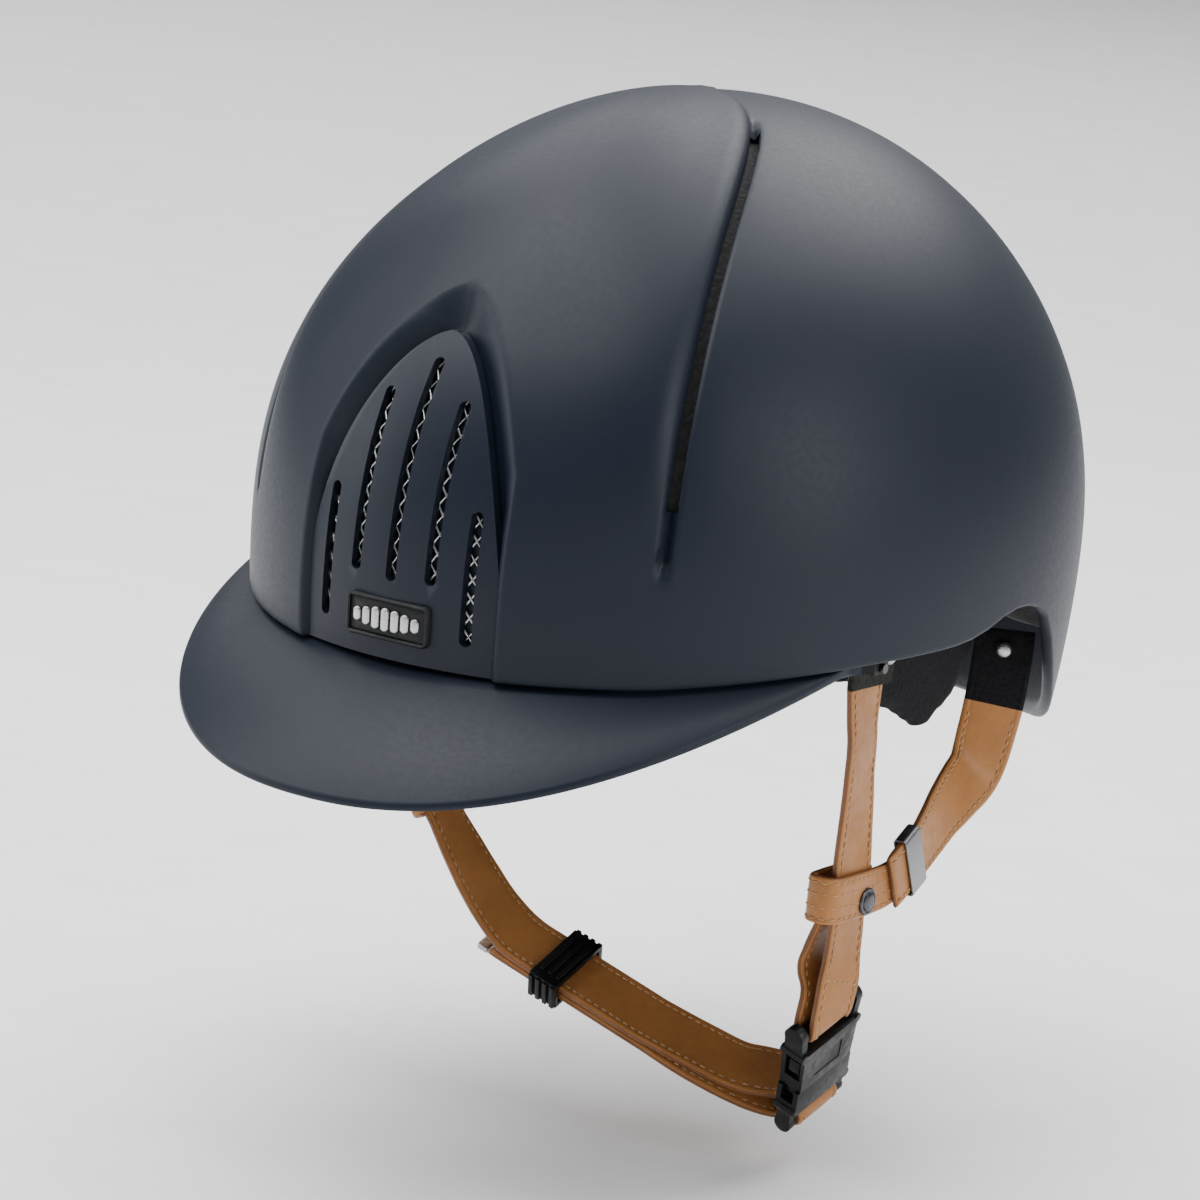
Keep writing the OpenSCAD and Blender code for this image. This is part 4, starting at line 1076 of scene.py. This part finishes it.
class Moulding:
    """Boxes and bars joined into one moulded part, less its cuts, with rounded edges."""

    def __init__(self):
        self.solids, self.cuts = [], []

    def box(self, centre, size, taper=1.0, cut=False):
        half = np.array(size) / 2
        corners = [np.array(centre) + half * (sx * k, sy * k, sz) for sz, k in ((-1, taper), (1, 1))
                   for sx, sy in ((-1, -1), (1, -1), (1, 1), (-1, 1))]
        (self.cuts if cut else self.solids).append((corners, end_faces(2, 4) + ring_faces(2, 4)))
        return self

    def bar(self, centre, axis, r, length, cut=False, turns=24):
        axis = np.array(axis, float)
        u = np.array([0, 0, 1.0]) if abs(axis[2]) < 0.5 else np.array([1.0, 0, 0])
        w = np.cross(axis, u)
        verts = [np.array(centre) + axis * s * length / 2 + (u * math.cos(a) + w * math.sin(a)) * r
                 for s in (-1, 1) for a in np.linspace(0, 2 * math.pi, turns, endpoint=False)]
        (self.cuts if cut else self.solids).append((verts, ring_faces(2, turns) + end_faces(2, turns)))
        return self

    def make(self, name, place, material, body, node, bevel, waist=0.0):
        parts = [piece("solid", v, f, material, None) for v, f in self.solids]
        cuts = [piece("cut", v, f, material, None) for v, f in self.cuts]
        for p in parts + cuts:
            outward_normals(p)
        obj = parts[0]
        for kind, others in (("UNION", parts[1:]), ("DIFFERENCE", cuts)):
            for other in others:
                mod = obj.modifiers.new("join", "BOOLEAN")
                mod.operation, mod.object, mod.solver = kind, other, "EXACT"
        round_edges(obj, bevel, 3, 32)
        apply_modifiers(obj)
        for other in parts[1:] + cuts:
            bpy.data.objects.remove(other)
        for vert in obj.data.vertices if waist else ():
            side = min(abs(vert.co.z / MM - WAIST_Z) / WAIST_HALF, 1)
            vert.co.y *= 1 - waist + (waist + 0.05) * side * side
            vert.co.x *= 1 + 0.06 * side
        obj.data.transform(place)
        obj.name = name
        obj.data.name = name
        shade_smooth(obj)
        sharpen(obj, 35)
        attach(obj, body)
        finish_piece(node)


def place_matrix(origin, x, y, z):
    m = Matrix((x, y, z)).transposed().to_4x4()
    return Matrix.Translation(Vector(origin) * MM) @ m


AT_BUCKLE = place_matrix(BUCKLE_TOP, Vector(B_FACE), Vector(B_ACROSS), Vector(-B_DOWN))
WAIST_Z, WAIST_HALF, BAR_R = -15, 12, 1.25

socket = Moulding()
socket.box((0, 0, -13.7), (8, 25, 15), 0.94)
for s in (-1, 1):
    socket.box((0, s * 11.6, -3.4), (6, 2.4, 8)).bar((0, s * 11.7, 0.3), (0, 1, 0), 3.1, 2.6)
    socket.bar((0, s * 12, -7.2), (1, 0, 0), 1.6, 8)
    socket.box((0, s * 12.5, -13.4), (5.2, 4, 8), cut=True)
socket.bar((0, 0, 0), (0, 1, 0), BAR_R, 22).box((0, 0, -18.5), (5.2, 22.2, 20.6), cut=True)
for s in (1, -1):
    socket.box((s * 4.4, 0, -14.5), (1.6, 12, 7), cut=True)
socket.make("buckle_female", AT_BUCKLE, BUCKLE, "harness", "buckle_socket", 0.8, 0.07)

plug = Moulding()
plug.box((0, 0, -26.1), (7.4, 24, 9.3)).box((0, 0, -15.8), (3.4, 3, 12.6))
plug.box((0, 0, -19.2), (3, 9, 5))
plug.bar((0, 0, -BUCKLE_LEN), (0, 1, 0), BAR_R, 20)
for s in (-1, 1):
    plug.box((0, s * 10.9, -33), (4.8, 2.6, 9)).bar((0, s * 10.9, -36), (0, 1, 0), 2.8, 2.6)
    plug.bar((0, s * 11.4, -29.6), (1, 0, 0), 1.5, 7.2)
    plug.box((0, s * 10.1, -23), (4.2, 9.8, 7.4), cut=True)
plug.make("buckle_male", AT_BUCKLE, BUCKLE, "plug", "buckle_plug", 0.5)

for s, word in ((-1, "front"), (1, "rear")):
    arm = Moulding()
    arm.bar((0, s * 7.9, -24), (1, 0, 0), 2.3, 3.6)
    arm.box((0, s * 7.9, -17.7), (3.6, 2, 12.6)).box((0, s * 9.7, -13.4), (3.6, 2.2, 4.4))
    arm.bar((0, s * 7.9, -24), (1, 0, 0), 1.35, 9, cut=True)
    arm.make(f"buckle_arm_{word}", AT_BUCKLE, BUCKLE, f"{word}_prong", f"prong_{word}",
             0.35)



def along_chin(where):
    return place_matrix(where, Vector(C_FACE), Vector(C_ACROSS), Vector(K_ALONG))


keeper = Moulding()
keeper.box((0, 0, 0), (9.2, 21.2, 10)).box((0, 0, 0), (6.4, 18.9, 12), cut=True)
for k in (-1.5, -0.5, 0.5, 1.5):
    for side in (-1, 1):
        keeper.box((0, side * 10.8, k * 2.6), (8.6, 1.5, 1.5))
for k in (-1, 0, 1):
    keeper.box((-4.6, 0, k * 3), (0.7, 15, 1))
keeper.make("ribbed_keeper", along_chin(keeper_mix(0.4) + TAIL_GAP / 2), BUCKLE, "keeper", "strap_keeper",
            0.4)

tip = Moulding()
tip.box((0, 0, 0), (STRAP_T, STRAP_W, 3.8))
tip.make("tail_tip", along_chin(K_FROM + np.array([-3.4, 0, 1]) + TAIL_GAP), STEEL, "harness",
         "strap_tail_tip", 0.5)

# ---- Small pieces that keep their CAD shape ----------------------------------------------------------

# The strap tabs take the webbing that is darkened with painted shade.
for node, material in (("visor_end_blocks", BLACK), ("visor_screws", DARK_METAL), ("hook_dots", BLACK),
                       ("strap_tab_left", SHADED_WEBBING), ("strap_tab_right", SHADED_WEBBING)):
    wear(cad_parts[node], material)

# ---- Badge -------------------------------------------------------------------------------------------

BADGE_Z = 15.4


def rounded(hw, hh, r, shrink=0.0):
    hw, hh, r = hw - shrink, hh - shrink, max(r - shrink, 0.3)
    return np.array([(cx * (hw - r) + r * math.cos(a), cz * (hh - r) + r * math.sin(a))
                     for cx, cz, a0 in ((1, 1, 0), (-1, 1, 90), (-1, -1, 180), (1, -1, 270))
                     for a in np.radians(a0 + np.arange(0, 91, 15))])


def relief(name, shapes, material, node, slot, hollow=False):
    """Low reliefs on the front panel: each is a place across and rings of (outline, inset)."""
    verts, faces = [], []
    for x0, rings in shapes:
        m, n = len(rings), len(rings[0][0])
        faces += ring_faces(m, n, len(verts), hollow)
        if not hollow:
            faces += end_faces(m, n, len(verts))
        for outline, inset in rings:
            verts += list(over(outline[:, 0] + x0, outline[:, 1] + BADGE_Z, -1, inset))
    solid(name, verts, faces, material, "helmet", node, slot, 42)


def rings_of(size, steps):
    return [(rounded(*size, shrink), inset) for shrink, inset in steps]


RIM_STEPS = ((0, 1.95), (0, 0.6), (0.35, 0.2), (0.75, 0.2), (1.1, 0.55), (1.1, 1.9))
FACE_RINGS = rings_of((12.35, 4.65, 0.8), ((0, 1.95), (0, 1.15))) + [
    (rounded(12.1, 4.4, 0.6), 1.0), (rounded(6, 2, 0.4), 1.0)]
BAR_STEPS = ((0, 1.2), (0, 0.5), (0.15, 0.3), (0.5, 0.2))
BAR_HALVES = (2.0, 2.6, 3.1, 3.3, 3.1, 2.6, 2.0)
relief("badge_rim", [(0, rings_of((13.5, 5.8, 1.8), RIM_STEPS))], BLACK, "badge_frame", "black_plastic", True)
relief("badge_face", [(0, FACE_RINGS)], BLACK, "badge_plate", "steel")
relief("badge_bars", [(3.2 * (i - 3), rings_of((1.25, h, 1.2), BAR_STEPS)) for i, h in enumerate(BAR_HALVES)],
       STEEL, None, "steel")

# ---- Comfort pads ------------------------------------------------------------------------------------


CLOTH_FRAMES, QUILT_DEPTH = 14, 1.1


def pad(name, node, cap, quilts=0.0):
    """A padded knit piece: its CAD solid, remeshed, blown up by cloth pressure and softened.

    cap is the most that the pressure may move it, and quilts the degrees between its sewn channels.
    """
    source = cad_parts[node]
    obj = bpy.data.objects.new(name, source.data.copy())
    bpy.context.scene.collection.objects.link(obj)
    shrink = obj.modifiers.new("smaller", "DISPLACE")
    shrink.strength, shrink.mid_level = -1.1 * MM, 0.0
    remesh = obj.modifiers.new("remesh", "REMESH")
    remesh.mode, remesh.voxel_size = "VOXEL", 2.6 * MM
    apply_modifiers(obj)
    rest = np.array([v.co for v in obj.data.vertices])
    settings = obj.modifiers.new("cloth", "CLOTH").settings
    settings.use_pressure, settings.uniform_pressure_force = True, 3.0
    settings.effector_weights.gravity = 0
    settings.quality = 4
    settings.tension_stiffness = settings.compression_stiffness = 22
    for number in range(1, CLOTH_FRAMES + 1):
        bpy.context.scene.frame_set(number)
    apply_modifiers(obj)
    bpy.context.scene.frame_set(1)
    move = np.array([v.co for v in obj.data.vertices]) - rest
    size = np.linalg.norm(move, axis=1, keepdims=True)
    now = rest + move * np.minimum(1, cap * MM / np.maximum(size, 1e-9))
    obj.data.vertices.foreach_set("co", now.astype(np.float32).ravel())
    relax = obj.modifiers.new("relax", "SMOOTH")
    relax.factor, relax.iterations = 0.5, 4
    sub = obj.modifiers.new("fine", "SUBSURF")
    sub.levels = sub.render_levels = 1
    apply_modifiers(obj)
    if quilts:
        co = np.array([v.co for v in obj.data.vertices])
        normal = np.array([v.normal for v in obj.data.vertices])
        turn = np.degrees(np.arctan2(co[:, 1], co[:, 0]))
        near = np.abs((turn + quilts / 2) % quilts - quilts / 2)
        co -= normal * (QUILT_DEPTH * MM * np.exp(-near ** 2))[:, None]
        obj.data.vertices.foreach_set("co", co.astype(np.float32).ravel())
    wear(obj, KNIT)
    shade_smooth(obj)
    obj.data.update()
    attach(obj, "helmet")
    finish_piece(node)


pad("crown_cushion", "crown_pad", 1.4, 30.0)
for place in ("brow", "nape"):
    pad(f"{place}_cushion", f"{place}_pad", 1.4, 20.0)
for side in ("left", "right"):
    pad(f"ear_cushion_{side}", f"ear_flap_{side}", 1.2)

# ---- Floor -------------------------------------------------------------------------------------------

FLOOR_HALF, FLOOR_GAP = 9000, 0.012
ground = Look("pale_floor", 0.85)
ground.colour(ground.colours(ground.noise(30, 4), (0.86, 0.865, 0.87), (0.9, 0.9, 0.905)))
floor_z = (CAD_BOX[0][2] - FLOOR_GAP) / MM
corners = [(x * FLOOR_HALF, y * FLOOR_HALF, floor_z) for x, y in ((-1, -1), (1, -1), (1, 1), (-1, 1))]
floor = piece("floor", corners, [(0, 1, 2, 3)], ground.mat, None)
